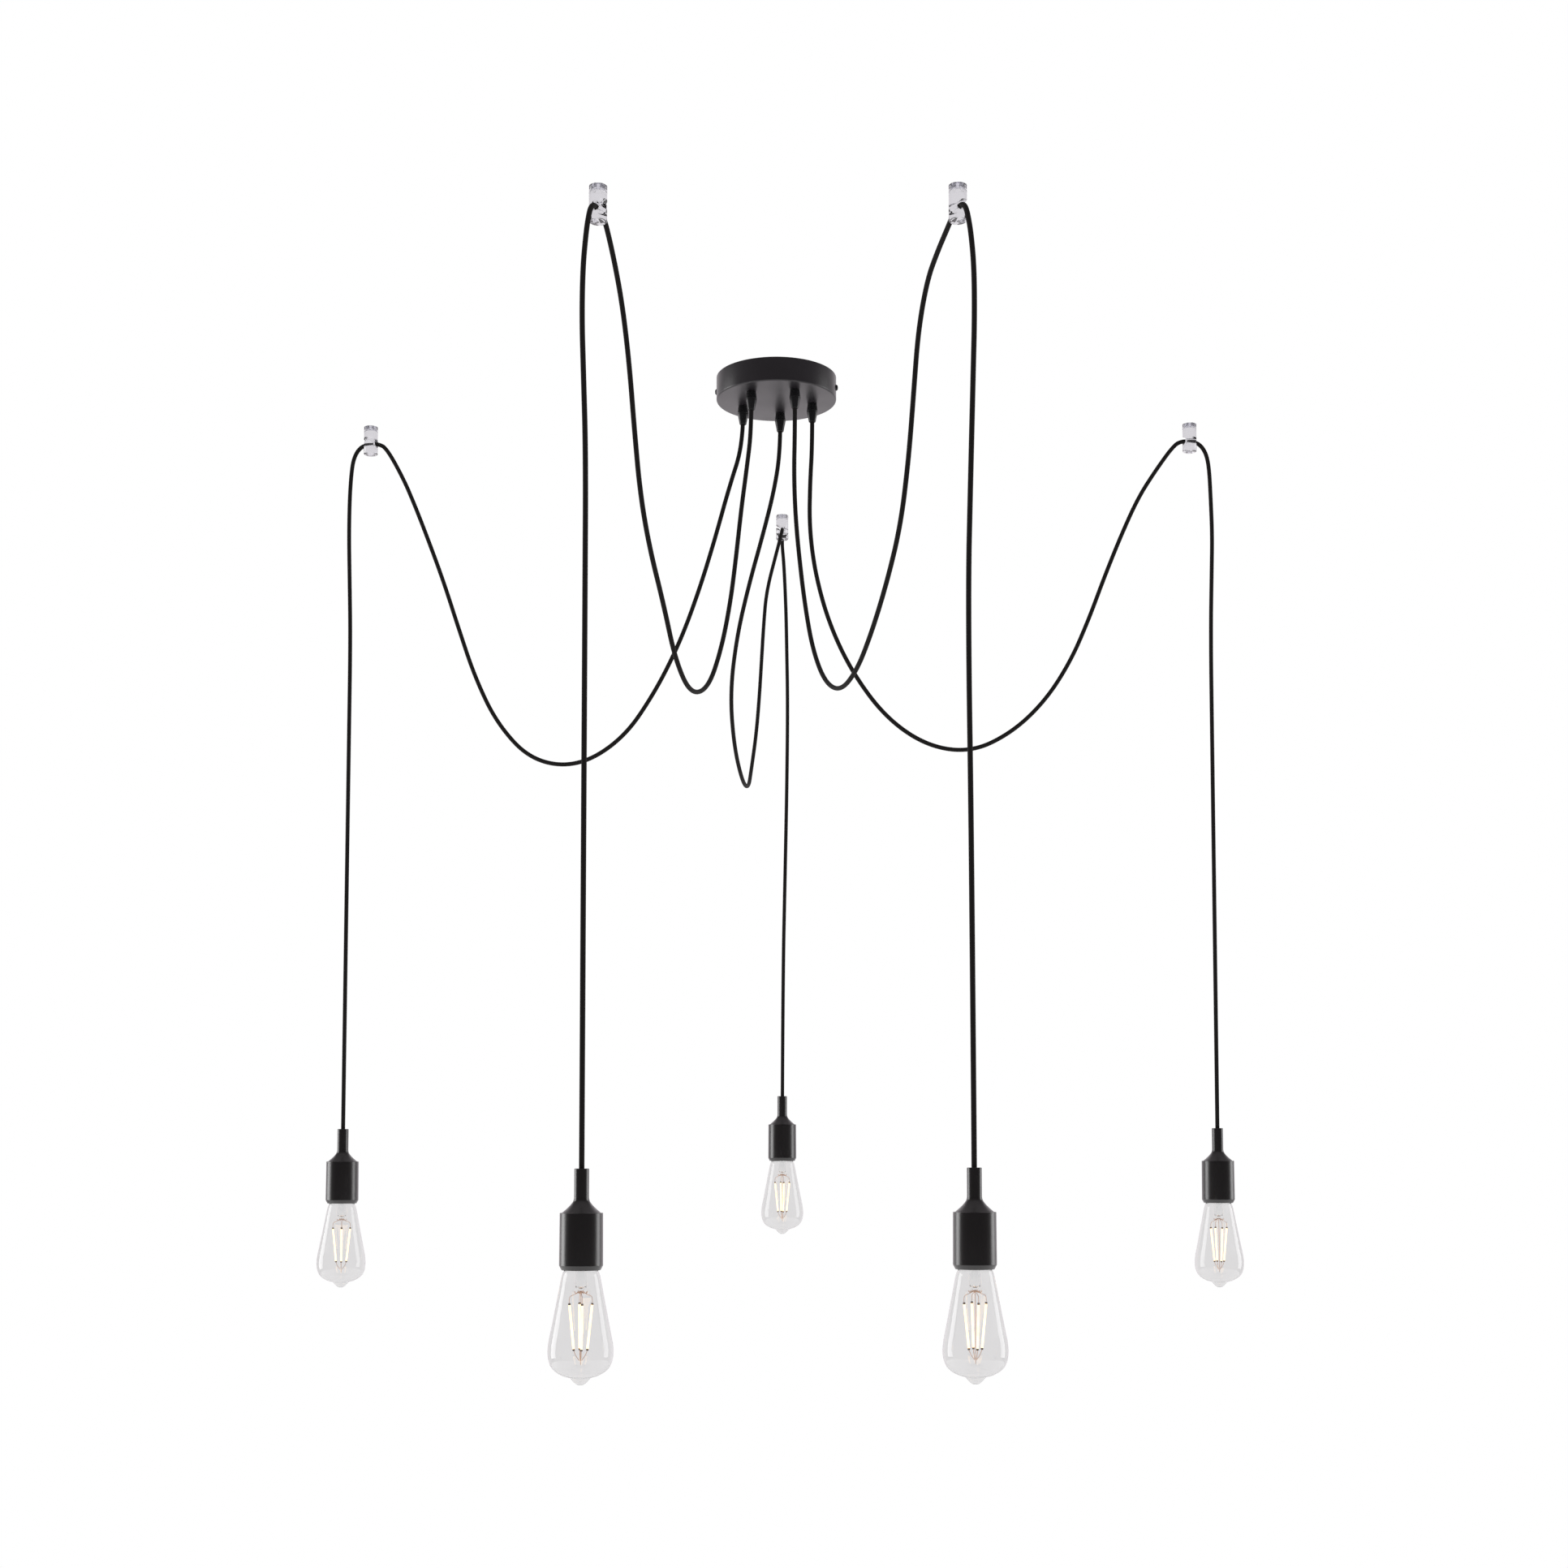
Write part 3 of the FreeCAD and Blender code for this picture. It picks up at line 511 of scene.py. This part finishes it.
def cord_finish(settings):
    """Braided cord: strands from the weave group, with painted shade in the gaps and a lighter painted
    highlight on the strands' crowns, and a soft cloth sheen.
    """
    material, tree, shader = finish_base("cord_braid", settings.colour, Roughness=0.8,
                                         Specular_IOR_Level=0.25, Sheen_Weight=0.03, Sheen_Roughness=0.5)
    place = add(tree, "UVMap", uv_map="UVMap").outputs["UV"]
    weave = add(tree, "Group", {"UV": place, "Strands": settings.strands, "Lay": settings.lay},
                node_tree=bpy.data.node_groups["braid_weave"]).outputs
    # Painted shade and highlight: the main colour in the gaps between strands, the lighter crown colour on
    # the strands' crowns.
    shade = shaded(tree, weave["Crown"], (*settings.colour, 1.0), (*settings.fleck, 1.0))
    normal = bumped(tree, weave["Height"], 0.02 * MM, 1.0)
    wire(tree, shader, {"Base Color": shade, "Normal": normal})
    return material


def glass_finish(name, tint, index, ripple, ripple_scale, smooth, rough):
    """Clear glass or plastic whose surface has faint ripples from blowing or moulding."""
    material, tree, shader = finish_base(name, tint, IOR=index, Transmission_Weight=1.0)
    place = add(tree, "TexCoord").outputs["Object"]
    waves = noise(tree, place, ripple_scale, detail=1)
    haze = add(tree, "MapRange", {"Value": waves, "To Min": smooth, "To Max": rough}).outputs["Result"]
    wire(tree, shader, {"Roughness": haze, "Normal": bumped(tree, waves, ripple, 0.5)})
    return material


def glow_finish(settings):
    """Lit strips: a warm phosphor that is a little uneven along its length."""
    colour = settings.glow_colour
    material, tree, shader = finish_base("filament_glow", colour, Roughness=0.5,
                                         Emission_Strength=settings.glow)
    mottle = noise(tree, add(tree, "TexCoord").outputs["Object"], 160, detail=2)
    shade = shaded(tree, mottle, scaled(colour, (1, 0.86, 0.7)), scaled(colour, (1, 1.12, 1.35)))
    wire(tree, shader, {"Emission Color": shade})
    return material


def repaint(node, material):
    """Gives a CAD node that keeps its own shape a new finish."""
    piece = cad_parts[node]
    piece.data.materials.clear()
    piece.data.materials.append(material)


def dress(piece, material, body, slot, *nodes):
    """Finishes a new piece: its material, the body it moves with and what it stands for. The record slot is
    not used.
    """
    piece.data.materials.append(material)
    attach(piece, body)
    if nodes:
        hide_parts(*nodes)


def fixed(name, part, material, slot, *nodes):
    """Makes and dresses a piece that stays with the ceiling."""
    dress(make_piece(name, *part, smooth_angle=40), material, ROOT, slot, *nodes)


def hang(pendant, label, part, smooth_angle, material, body, slot, *nodes):
    """Makes and dresses one pendant's copy of a part whose origin is the middle of its sleeve's top."""
    piece = make_piece(pendant.name + label, *shifted(part, *pendant.lamp), smooth_angle=smooth_angle)
    dress(piece, material, pendant.name + body, slot, *[pendant.name + node for node in nodes])


# ==== Operators ====
class PENDANT_OT_stage(Operator):
    """Places the camera, the pale floor and soft studio light"""
    bl_idname = "pendant.stage"
    bl_label = "Stage"

    def execute(self, context):
        settings = context.scene.pendant_stage
        data = bpy.data.cameras.new("camera")
        data.lens = settings.lens
        data.shift_y = settings.shift
        data.clip_end = 50
        camera = linked("camera", data)
        camera.location = settings.place
        camera.rotation_euler = (pi / 2 + settings.pitch, 0, 0)
        context.scene.camera = camera
        self.floor(settings)
        self.lights()
        self.world(context)
        return {"FINISHED"}

    def floor(self, settings):
        radius, thick = settings.floor_radius, 0.02
        disc = revolve([(0, -thick), (radius, -thick), (radius, 0), (0, 0)], 96, False)
        floor = make_piece("floor", *shifted(disc, 0, 0, -settings.floor_drop), smooth_angle=30)
        floor.data.materials.append(plain("floor_paint"))

    def lights(self):
        """Two tall soft boxes, one on each side and a little behind the lamps."""
        for name, place, size, power in SOFT_BOXES:
            data = bpy.data.lights.new(name, "AREA")
            data.shape = "RECTANGLE"
            data.size, data.size_y = size
            data.energy = power
            light = linked(name, data)
            toward = np.subtract(SOFT_BOX_AIM, place)
            yaw = atan2(toward[1], toward[0]) - pi / 2
            pitch = atan2(toward[2], hypot(toward[0], toward[1])) + pi / 2
            light.location = place
            light.rotation_euler = (pitch, 0, yaw)
            light.visible_camera = False
            light.visible_transmission = False

    def world(self, context):
        """White to the camera, light grey through glass and to diffuse rays. Reflections see a white sweep
        behind the lamps, a grey ceiling above and a dark room in front."""
        world = bpy.data.worlds.new("studio")
        world.use_nodes = True
        tree = world.node_tree
        place = add(tree, "TexCoord").outputs["Generated"]
        split = add(tree, "SeparateXYZ", {"Vector": place}).outputs
        ramps = []
        for way, start, end, most in ROOM_RAMPS:
            sockets = {"Value": split[way], "From Min": start, "From Max": end, "To Min": ROOM_DARK,
                       "To Max": most}
            ramps.append(add(tree, "MapRange", sockets, interpolation_type="SMOOTHSTEP").outputs["Result"])
        light = self.background(tree, ROOM_TINT, worked(tree, "MAXIMUM", *ramps))
        rays = add(tree, "LightPath").outputs
        inside = worked(tree, "GREATER_THAN", rays["Transmission Depth"], 0.5)
        for ray, colour in ((rays["Is Diffuse Ray"], DIFFUSE_SKY), (inside, SKY_THROUGH_GLASS),
                            (rays["Is Camera Ray"], (1, 1, 1))):
            sky = self.background(tree, colour, 1.0)
            light = add(tree, "MixShader", {0: ray, 1: light, 2: sky}).outputs[0]
        wire(tree, tree.nodes["World Output"], {"Surface": light})
        context.scene.world = world
        context.scene.view_settings.view_transform = "Standard"

    def background(self, tree, colour, strength):
        return add(tree, "Background", {"Color": (*colour, 1), "Strength": strength}).outputs[0]


class PENDANT_OT_cords(Operator):
    """Makes each braided cord as one tube from its grip, over its hook, to its lampholder"""
    bl_idname = "pendant.cords"
    bl_label = "Cords"

    def execute(self, context):
        settings = context.scene.pendant_cord
        finish = cord_finish(settings)
        for pendant in PENDANTS:
            self.cord(pendant, settings, finish)
        self.tails(settings, finish)
        return {"FINISHED"}

    def spline_points(self, points, steps):
        """Points along the smooth NURBS line that the route's points steer."""
        curve = bpy.data.curves.new("route", "CURVE")
        curve.dimensions = "3D"
        curve.resolution_u = steps
        spline = curve.splines.new("NURBS")
        spline.points.add(len(points) - 1)
        spline.points.foreach_set("co", np.column_stack([points, np.ones(len(points))]).ravel())
        spline.order_u = 3
        spline.use_endpoint_u = True
        holder = bpy.data.objects.new("route", curve)
        line = bpy.data.meshes.new_from_object(holder)
        found = np.empty(3 * len(line.vertices))
        line.vertices.foreach_get("co", found)
        bpy.data.objects.remove(holder)
        bpy.data.curves.remove(curve)
        bpy.data.meshes.remove(line)
        return found.reshape(-1, 3)

    def cord(self, pendant, settings, finish):
        name, out = pendant.name, pendant.out
        swag = placed(((0, GRIP_RING_Z),) + SWAGS[name], pendant.grip, out, pendant.aside)
        drop = placed(HOOK_PASS + DROPS[name], pendant.hook, out, pendant.aside)
        path = self.spline_points(np.vstack([swag, drop, pendant.lamp + [0, 0, CORD_FOOT]]), 16)
        path = path[np.concatenate([[True], gaps(path) > 0.05 * MM])]
        piece = make_piece(name + "_cord", *tube(path, settings.diameter / 2, pendant.aside, settings.sides))
        piece.data.materials.append(finish)
        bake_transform(piece)
        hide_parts(name + "_cord_swag", name + "_cord_drop")

    def tails(self, settings, finish):
        """The short lengths inside the canopy, from each grip in to the terminal block."""
        parts, pairs = [], []
        for pendant in PENDANTS:
            inwards = -pendant.grip / GRIP_CIRCLE_R
            aside = np.array([-inwards[1], inwards[0], 0.0])
            end = (GRIP_CIRCLE_R - self.block_reach(pendant.direction), TAIL_ROUTE[-1][1])
            path = self.spline_points(placed(TAIL_ROUTE + (end,), pendant.grip, inwards, aside), 8)
            verts, faces, uv = tube(path, settings.diameter / 2, aside, settings.sides)
            parts.append((verts, faces))
            pairs.append(uv)
        piece = make_piece("cord_tail_leads", *joined(parts), np.vstack(pairs))
        dress(piece, finish, ROOT, "cord_black")

    def block_reach(self, direction):
        """Distance from the middle at which a cord from that direction meets the terminal block's side."""
        length, width, gap, r = 30 * MM, 20 * MM, 0.3 * MM, 2.75 * MM
        across, along = abs(cos(radians(direction))), abs(sin(radians(direction)))
        if across * width > along * length:
            return length / 2 / across + r * along / across + gap
        return width / 2 / along + r * across / along + gap


class PENDANT_OT_canopy(Operator):
    """Makes the coated canopy, its side screws, and finishes the fittings that it hides"""
    bl_idname = "pendant.canopy"
    bl_label = "Canopy"

    def execute(self, context):
        settings = context.scene.pendant_canopy
        r, h, wall, edge = settings.radius, settings.height, settings.wall, settings.edge
        inner = r - wall
        profile = rounded([(0, -h, 0), (r, -h, edge), (r, 0, 0.3 * MM), (inner, 0, 0.3 * MM),
                           (inner, -h + wall, edge - wall), (0, -h + wall, 0)], 8)
        coat = skinned("canopy_coat", settings.colour, smooth=0.36, rough=0.42, grain=1400, depth=0.008,
                       shift=0.08, Coat_Weight=0.4, Coat_Roughness=0.3)
        fixed("canopy_shell", revolve(profile, 160, False), coat, "canopy_black", "canopy")
        self.side_screws(r)
        self.hidden_fittings()
        return {"FINISHED"}

    def side_screws(self, radius):
        """Dome screws: each is a revolved shank and head, laid on its side against the canopy."""
        dome = rounded([(0, -8, 0), (1.9, -8, 0.3), (1.9, 0, 0), (3.9, 0, 0.2), (3.8, 0.9, 0.8),
                        (2.4, 2.3, 1.5), (0, 2.6, 0)], 6) * MM
        verts, faces = revolve(dome, 40, False)
        laid = verts[:, [2, 1, 0]] * [1, -1, 1] + [radius + 0.05 * MM, 0, -15 * MM]
        pair = joined([(turned(laid, radians(CANOPY_TURN + side)), faces) for side in (0, 180)])
        fixed("canopy_side_screws", pair, plain("screw_black_oxide"), "screw_black", "canopy_screws")

    def hidden_fittings(self):
        repaint("ceiling_bracket", plain("zinc_plate"))
        repaint("grip_nuts", plain("grip_nut_nylon"))
        repaint("terminal_block", plain("terminal_nylon"))


class PENDANT_OT_grips(Operator):
    """Makes the five cord grips under the canopy, each a flared body, a ring and a tapered cap"""
    bl_idname = "pendant.grips"
    bl_label = "Cord grips"

    def execute(self, context):
        black = skinned("grip_moulding", context.scene.pendant_canopy.grip_colour, smooth=0.22, rough=0.34,
                        grain=1600, depth=0.015)
        body = rounded([(3.2, -22.3, 0.2), (3.2, -40, 0.2), (7, -40.2, 0.35), (7.1, -39, 0.35),
                        (6.85, -38.7, 0.15), (5.9, -30, 0.1), (5, -30, 0.1), (5, -22.3, 0.3),
                        (3.2, -22.3, 0.2)], 4)
        cap = rounded([(3.2, -40.4, 0.1), (3.2, -53.8, 0.5), (4.3, -54, 0.8), (6.5, -42.7, 1.5),
                       (6.9, -40.4, 0.2), (3.2, -40.4, 0.1)], 5)
        for label, profile, node in (("cord_grip_bodies", body, "cord_grips"),
                                     ("cord_grip_caps", cap, "grip_caps")):
            part = revolve(profile[:-1] * MM, 64, True)
            every = joined([shifted(part, *pendant.grip) for pendant in PENDANTS])
            fixed(label, every, black, "grip_black", node)
        return {"FINISHED"}


class PENDANT_OT_hooks(Operator):
    """Makes the clear hooks, each a cylinder cut by a round seat, a slanting mouth and rim notches"""
    bl_idname = "pendant.hooks"
    bl_label = "Ceiling hooks"

    def execute(self, context):
        settings = context.scene.pendant_hook
        moulding = {"index": 1.49, "ripple": 0.015 * MM, "ripple_scale": 260}
        clear = glass_finish("hook_clear_moulding", settings.colour, smooth=0.02, rough=0.08, **moulding)
        smoke = glass_finish("hook_lug_smoke", (0.52, 0.52, 0.55), smooth=0.1, rough=0.2, **moulding)
        mesh = self.cut_hook(settings)
        for pendant in PENDANTS:
            own = mesh.copy()
            own.transform(Matrix.Translation(pendant.hook) @ Matrix.Rotation(pendant.heading, 4, "Z"))
            piece = linked(pendant.name + "_clear_hook", own)
            dress(piece, clear, ROOT, "hook_clear", pendant.name + "_hook")
        self.bases(settings, clear, smoke)
        return {"FINISHED"}

    def bases(self, settings, clear, smoke):
        """Each base is a clear revolved disc with a countersunk hole, and smoky lugs in the rim notches."""
        disc_r = settings.radius - 2.4 * MM
        profile = rounded([(2.25, 0, 0), (disc_r / MM, 0, 0.2), (disc_r / MM, -4.4, 0.4), (4.2, -4.4, 0.1),
                           (4.2, -3.75, 0), (2.65, -2.2, 0), (2.25, -2.2, 0), (2.25, 0, 0)], 4)[:-1] * MM
        disc = revolve(profile[::-1], 64, True)
        lug, faces = slab(oblong(0.9 * MM, -3.6 * MM, 0), disc_r - 0.4 * MM, settings.radius - 0.1 * MM)
        discs = [shifted(disc, *pendant.hook) for pendant in PENDANTS]
        lugs = [shifted((turned(lug, pendant.heading + pi / 4 * i), faces), *pendant.hook)
                for pendant in PENDANTS for i in range(8)]
        fixed("hook_base_discs", joined(discs), clear, "hook_base_grey", "hook_bases")
        fixed("hook_base_lugs", joined(lugs), smoke, "hook_base_grey")

    def cut_hook(self, settings):
        """The hook at the origin, X out along the cord: a revolved cup on a solid bar, less its cutters."""
        r, h = settings.radius, settings.height
        cup_r, cup_h, edge = r - 2.2 * MM, 6.5 * MM, 1.2 * MM
        profile = rounded([(0, -h, 0), (r, -h, edge), (r, 0, 0.4 * MM), (cup_r, 0, 0.3 * MM),
                           (cup_r, -cup_h, 0.8 * MM), (0, -cup_h, 0)], 6)
        body = make_piece("hook_blank", *revolve(profile, 96, False))
        cutters = [make_piece("hook_cut", *self.slot_cutter(r))]
        notch, faces = slab(oblong(1.2 * MM, -4.6 * MM, MM), -r - MM, r + MM)
        for i in range(4):
            cutters.append(make_piece("hook_cut", turned(notch, pi / 4 * i), faces))
        for cutter in cutters:
            change = body.modifiers.new("cut", "BOOLEAN")
            change.operation = "DIFFERENCE"
            change.solver = "EXACT"
            change.object = cutter
        bpy.context.view_layer.update()
        mesh = bpy.data.meshes.new_from_object(body.evaluated_get(bpy.context.evaluated_depsgraph_get()))
        for used in [body] + cutters:
            bpy.data.objects.remove(used)
        mesh.shade_smooth()
        mesh.set_sharp_from_angle(angle=radians(35))
        return mesh

    def slot_cutter(self, r):
        """The cord's way through: an outline of a round seat and a slanting mouth, carried along X, and
        flared towards both ends by the square of the distance past half the radius."""
        seat_r, rise, side = 3.25 * MM, tan(radians(27)), r + 2 * MM
        roof, floor = SEAT_Z + 4.3 * MM, SEAT_Z - 1.0 * MM
        corners = [(side, roof + rise * side, 0), (-seat_r * 0.4, roof - rise * seat_r * 0.4, 1.2 * MM),
                   (-seat_r, roof - rise * seat_r - 0.4 * MM, 1.0 * MM), (-seat_r, SEAT_Z, 0)]
        bowl = np.linspace(np.pi, 2 * np.pi, 25)[1:-1]
        bowl = np.column_stack([seat_r * np.cos(bowl), SEAT_Z + seat_r * np.sin(bowl)])
        lip = rounded([(seat_r, SEAT_Z, 0), (seat_r, floor + rise * seat_r, 0.7 * MM),
                       (side, floor + rise * side, 0)], 6)
        outline = np.vstack([rounded(corners, 6), bowl, lip])
        x = np.concatenate([[-side], np.linspace(-r, r, 25), [side]])
        grow = 1.8 * MM * np.clip((np.abs(x) - r / 2) / (r / 2), 0, 1) ** 2
        away = unit(outline - [0, SEAT_Z])
        rows = outline[None] + grow[:, None, None] * away[None]
        verts = np.concatenate([np.broadcast_to(x[:, None, None], (len(x), len(outline), 1)), rows], axis=2)
        return verts.reshape(-1, 3), capped(len(x), len(outline))


class PENDANT_OT_sleeves(Operator):
    """Makes the silicone sleeves over the lampholders and finishes the inserts inside them"""
    bl_idname = "pendant.sleeves"
    bl_label = "Lampholder sleeves"

    def execute(self, context):
        settings = context.scene.pendant_lamp
        r = settings.sleeve_radius / MM
        flare = flowing([(7.35, -26.5), (7.5, -29.4), (8.4, -32.3), (11.2, -36), (15.1, -39.8),
                         (18.5, -42.7)], 5)
        outside = np.vstack([
            rounded([(3.2, 0, 0), (7.35, 0, 0.6), (7.35, -26.5, 0)], 5)[1:-1], flare,
            rounded([(18.5, -42.7, 0), (19, -43.2, 0.2), (r - 0.3, -43.3, 0.5), (r, -94.4, 0.7),
                     (r - 2.4, -98.9, 0.4), (18, -99, 0.2), (18, -90, 0)], 5)[1:]])
        inside = rounded([(18, -90, 0), (18, -47.8, 0.5), (3.25, -47.8, 0.3), (3.25, -0.4, 0.3),
                          (4, 0, 0)], 4)
        sleeve = revolve(np.vstack([outside, inside[1:]])[::-1] * MM, 112, True)
        silicone = skinned("silicone_black", settings.sleeve_colour, smooth=0.27, rough=0.32, grain=1800,
                           depth=0.002, shift=0.12, Specular_IOR_Level=1.0, Coat_Weight=0.35,
                           Coat_Roughness=0.35)
        phenolic, brass = plain("phenolic_black"), plain("spring_brass")
        for pendant in PENDANTS:
            hang(pendant, "_sleeve", sleeve, 40, silicone, "_drop", "sleeve_black", "_socket_sleeve")
            repaint(pendant.name + "_socket_insert", phenolic)
            repaint(pendant.name + "_socket_contacts", brass)
        return {"FINISHED"}


class PENDANT_OT_bulbs(Operator):
    """Makes the teardrop bulbs: glass envelope, stem, threaded cap and foot"""
    bl_idname = "pendant.bulbs"
    bl_label = "Bulbs"

    def execute(self, context):
        settings = context.scene.pendant_lamp
        glass = glass_finish("bulb_blown_glass", (0.985, 0.99, 0.99), index=1.47, ripple=0.0005 * MM,
                             ripple_scale=45, smooth=0, rough=0.008)
        nickel, black = plain("cap_rolled_metal"), plain("foot_vitrite")
        envelope, stem, cap = self.envelope(settings), self.stem(), self.cap()
        for pendant in PENDANTS:
            hang(pendant, "_glass", envelope, 60, glass, "_bulb", "bulb_glass", "_bulb_glass")
            hang(pendant, "_glass_stem", stem, 60, glass, "_bulb", "bulb_glass")
            hang(pendant, "_threaded_cap", cap, 50, nickel, "_bulb", "cap_nickel", "_bulb_cap")
            repaint(pendant.name + "_bulb_contact", black)
        return {"FINISHED"}

    def envelope(self, settings):
        """Blown envelope: a smooth line through measured radii down to the seal bowl, its wall moved inward
        along the normal, and both revolved as one closed skin."""
        wide = settings.glass_radius / MM
        outer = flowing([(12.4, -92.2), (14.6, -96), (17.3, -100.6), (19.3, -107), (22.8, -125.2),
                         (26.5, -144.3), (29.3, -158.4), (31.2, -168), (wide, -177), (31.3, -185.6),
                         (28.7, -192.5), (24.3, -197.2), (18, -200.9), (11.2, -203), (8.9, -204.8),
                         (6.6, -207.4), (3.6, -209.6), (0, -210.2)], 10)
        lining = inward(outer, settings.glass_wall / MM)
        lining[-1, 0] = 0
        neck = 0.5 * (outer[:1] + lining[:1])
        profile = np.vstack([outer[::-1], neck + [0, 0.3], lining]) * MM
        return revolve(profile, 144, False)

    def stem(self):
        """Glass stem: a hollow tube, flared at the neck and pinched shut below, revolved as one skin."""
        outer = flowing([(11.2, -93), (8.6, -94.2), (6.3, -97), (5.4, -101), (5.35, -108), (5.35, -115),
                         (4.6, -117.6), (2.6, -119), (0, -119.4)], 5)
        inner = flowing([(0, -116.6), (2.4, -116.4), (4.1, -115.2), (4.5, -112), (4.5, -101.5), (5.4, -97.6),
                         (7.9, -94.9), (10.4, -93.3)], 5)
        return revolve(np.vstack([outer[::-1], inner[::-1]]) * MM, 48, False)

    def cap(self):
        """Screw cap: the radius falls below its largest by a wave whose crest climbs one pitch in a turn."""
        pitch, r, depth, sides, rows = 3.629 * MM, 13.1 * MM, 1.0 * MM, 96, 90
        top, foot = -70 * MM, -92 * MM
        a = np.linspace(0, 2 * np.pi, sides, endpoint=False)
        z = np.linspace(foot + 1.2 * MM, top - 2.2 * MM, rows)[:, None]
        ease = np.clip(np.minimum(z - z[0], z[-1] - z) / (1.6 * MM), 0, 1)
        wave = 0.5 - 0.5 * np.cos(2 * np.pi * z / pitch - a)
        ring = r - depth * (0.5 * (1 - ease) + wave * ease)
        bottom = [r, foot] + np.array([(-0.9, 0), (-0.1, 0.1), (-0.1, 0.9)]) * MM
        upper = [0, top] + np.array([(12.1, -1.6), (11.4, -0.5), (10.6, 0)]) * MM
        radius = np.vstack([np.repeat(bottom[:, :1], sides, 1), ring, np.repeat(upper[:, :1], sides, 1)])
        height = np.concatenate([bottom[:, 1], z[:, 0], upper[:, 1]])[:, None]
        return round_z(radius, height, sides), capped(len(radius), sides)


class PENDANT_OT_filaments(Operator):
    """Makes the lit strips and the wires that carry them"""
    bl_idname = "pendant.filaments"
    bl_label = "Filaments"

    def execute(self, context):
        glow = glow_finish(context.scene.pendant_lamp)
        copper, dark = plain("filament_wire"), plain("strip_end_metal")
        strips, wires, ends = self.strips(), self.wires(), self.end_caps()
        for pendant in PENDANTS:
            hang(pendant, "_filament_strips", strips, 50, glow, "_bulb", "filament", "_bulb_filaments")
            hang(pendant, "_filament_wires", wires, 50, copper, "_bulb", "filament")
            hang(pendant, "_filament_ends", ends, 50, dark, "_bulb", "filament")
        return {"FINISHED"}

    def ends(self):
        """Top and foot of the four strips, which lean in towards the foot."""
        a = np.radians(12 + 90 * np.arange(4))
        ring = np.column_stack([np.cos(a), np.sin(a)])
        tops = np.column_stack([11.3 * ring, np.full(4, -131)]) * MM
        feet = np.column_stack([6.6 * ring, np.full(4, -177)]) * MM
        return tops, feet

    def bar(self, points, radius, sides=10):
        """A thin round bar along a line of points."""
        points = np.asarray(points, dtype=float)
        along = points[-1] - points[0]
        level = np.array([-along[1], along[0], 0.0])
        aside = unit(level) if np.linalg.norm(level) > 1e-6 else np.array([1, 0, 0])
        return tube(points, radius, aside, sides)[:2]

    def spots(self, out, *pairs):
        """Points a distance out and at a height, both in millimetres."""
        return [out * r * MM + [0, 0, z * MM] for r, z in pairs]

    def strips(self):
        t = np.linspace(0.03, 0.97, 12)[:, None]
        return joined([self.bar(top * (1 - t) + foot * t, 1.1 * MM, 14) for top, foot in zip(*self.ends())])

    def end_caps(self):
        """A short metal sleeve on both ends of each strip."""
        parts = []
        for top, foot in zip(*self.ends()):
            lean = unit(foot - top) * 1.8 * MM
            parts.append(self.bar([top, top + lean], 1.2 * MM, 14))
            parts.append(self.bar([foot - lean, foot], 1.2 * MM, 14))
        return joined(parts)

    def wires(self):
        """Wires from the stem to the strips' tops and from their feet to the middle, a crown of small hooks
        round the stem's end, and one long wire down the middle."""
        parts = []
        for i, (top, foot) in enumerate(zip(*self.ends())):
            out = unit(top * [1, 1, 0])
            lead = self.spots(out, (2.2, -118.9), (4.8, -121.9), (10.2, -124.4))
            parts.append(self.bar(flowing(lead + [top + [0, 0, 3.2 * MM], top], 6), 0.26 * MM))
            tail = [0, 0, -186.5 * MM] + out * (2.4 if i % 2 else 1.2) * MM
            middle = foot * 0.5 + tail * 0.5 + out * 0.6 * MM
            parts.append(self.bar(flowing([foot, middle, tail], 6), 0.28 * MM))
        for a in np.radians(33 + 45 * np.arange(8)):
            out = np.array([cos(a), sin(a), 0])
            curl = self.spots(out, (0.6, -119.2), (3.4, -120.9), (5.6, -121.4), (6.7, -119.6))
            parts.append(self.bar(flowing(curl, 4), 0.3 * MM))
        spine = flowing(np.array([[0, 0, -118.9], [0.4, 0.2, -150], [0, 0, -180], [0.2, 0, -190.5]]) * MM, 8)
        parts.append(self.bar(spine, 0.3 * MM))
        return joined(parts)


class PENDANT_PT_panel(Panel):
    """Lists the steps that dress the pendant and the sizes that they use"""
    bl_label = "Cluster pendant"
    bl_idname = "PENDANT_PT_panel"
    bl_space_type = "VIEW_3D"
    bl_region_type = "UI"
    bl_category = "Pendant"

    def draw(self, context):
        for step in STEPS:
            self.layout.operator(step.bl_idname)
        for name, group in SETTINGS.items():
            box = self.layout.box()
            for prop in group.__annotations__:
                box.prop(getattr(context.scene, name), prop)


STEPS = (PENDANT_OT_stage, PENDANT_OT_cords, PENDANT_OT_canopy, PENDANT_OT_grips, PENDANT_OT_hooks,
         PENDANT_OT_sleeves, PENDANT_OT_bulbs, PENDANT_OT_filaments)
SETTINGS = {"pendant_stage": StageSettings, "pendant_cord": CordSettings, "pendant_canopy": CanopySettings,
            "pendant_hook": HookSettings, "pendant_lamp": LampSettings}


def register():
    for group in SETTINGS.values():
        bpy.utils.register_class(group)
    for name, group in SETTINGS.items():
        setattr(bpy.types.Scene, name, PointerProperty(type=group))
    for step in STEPS + (PENDANT_PT_panel,):
        bpy.utils.register_class(step)


def unregister():
    for step in reversed(STEPS + (PENDANT_PT_panel,)):
        bpy.utils.unregister_class(step)
    for name, group in SETTINGS.items():
        delattr(bpy.types.Scene, name)
        bpy.utils.unregister_class(group)


def main():
    register()
    moulded_skin()
    braid_weave()
    for step in STEPS:
        space, name = step.bl_idname.split(".")
        getattr(getattr(bpy.ops, space), name)()


if __name__ == "__main__":
    main()
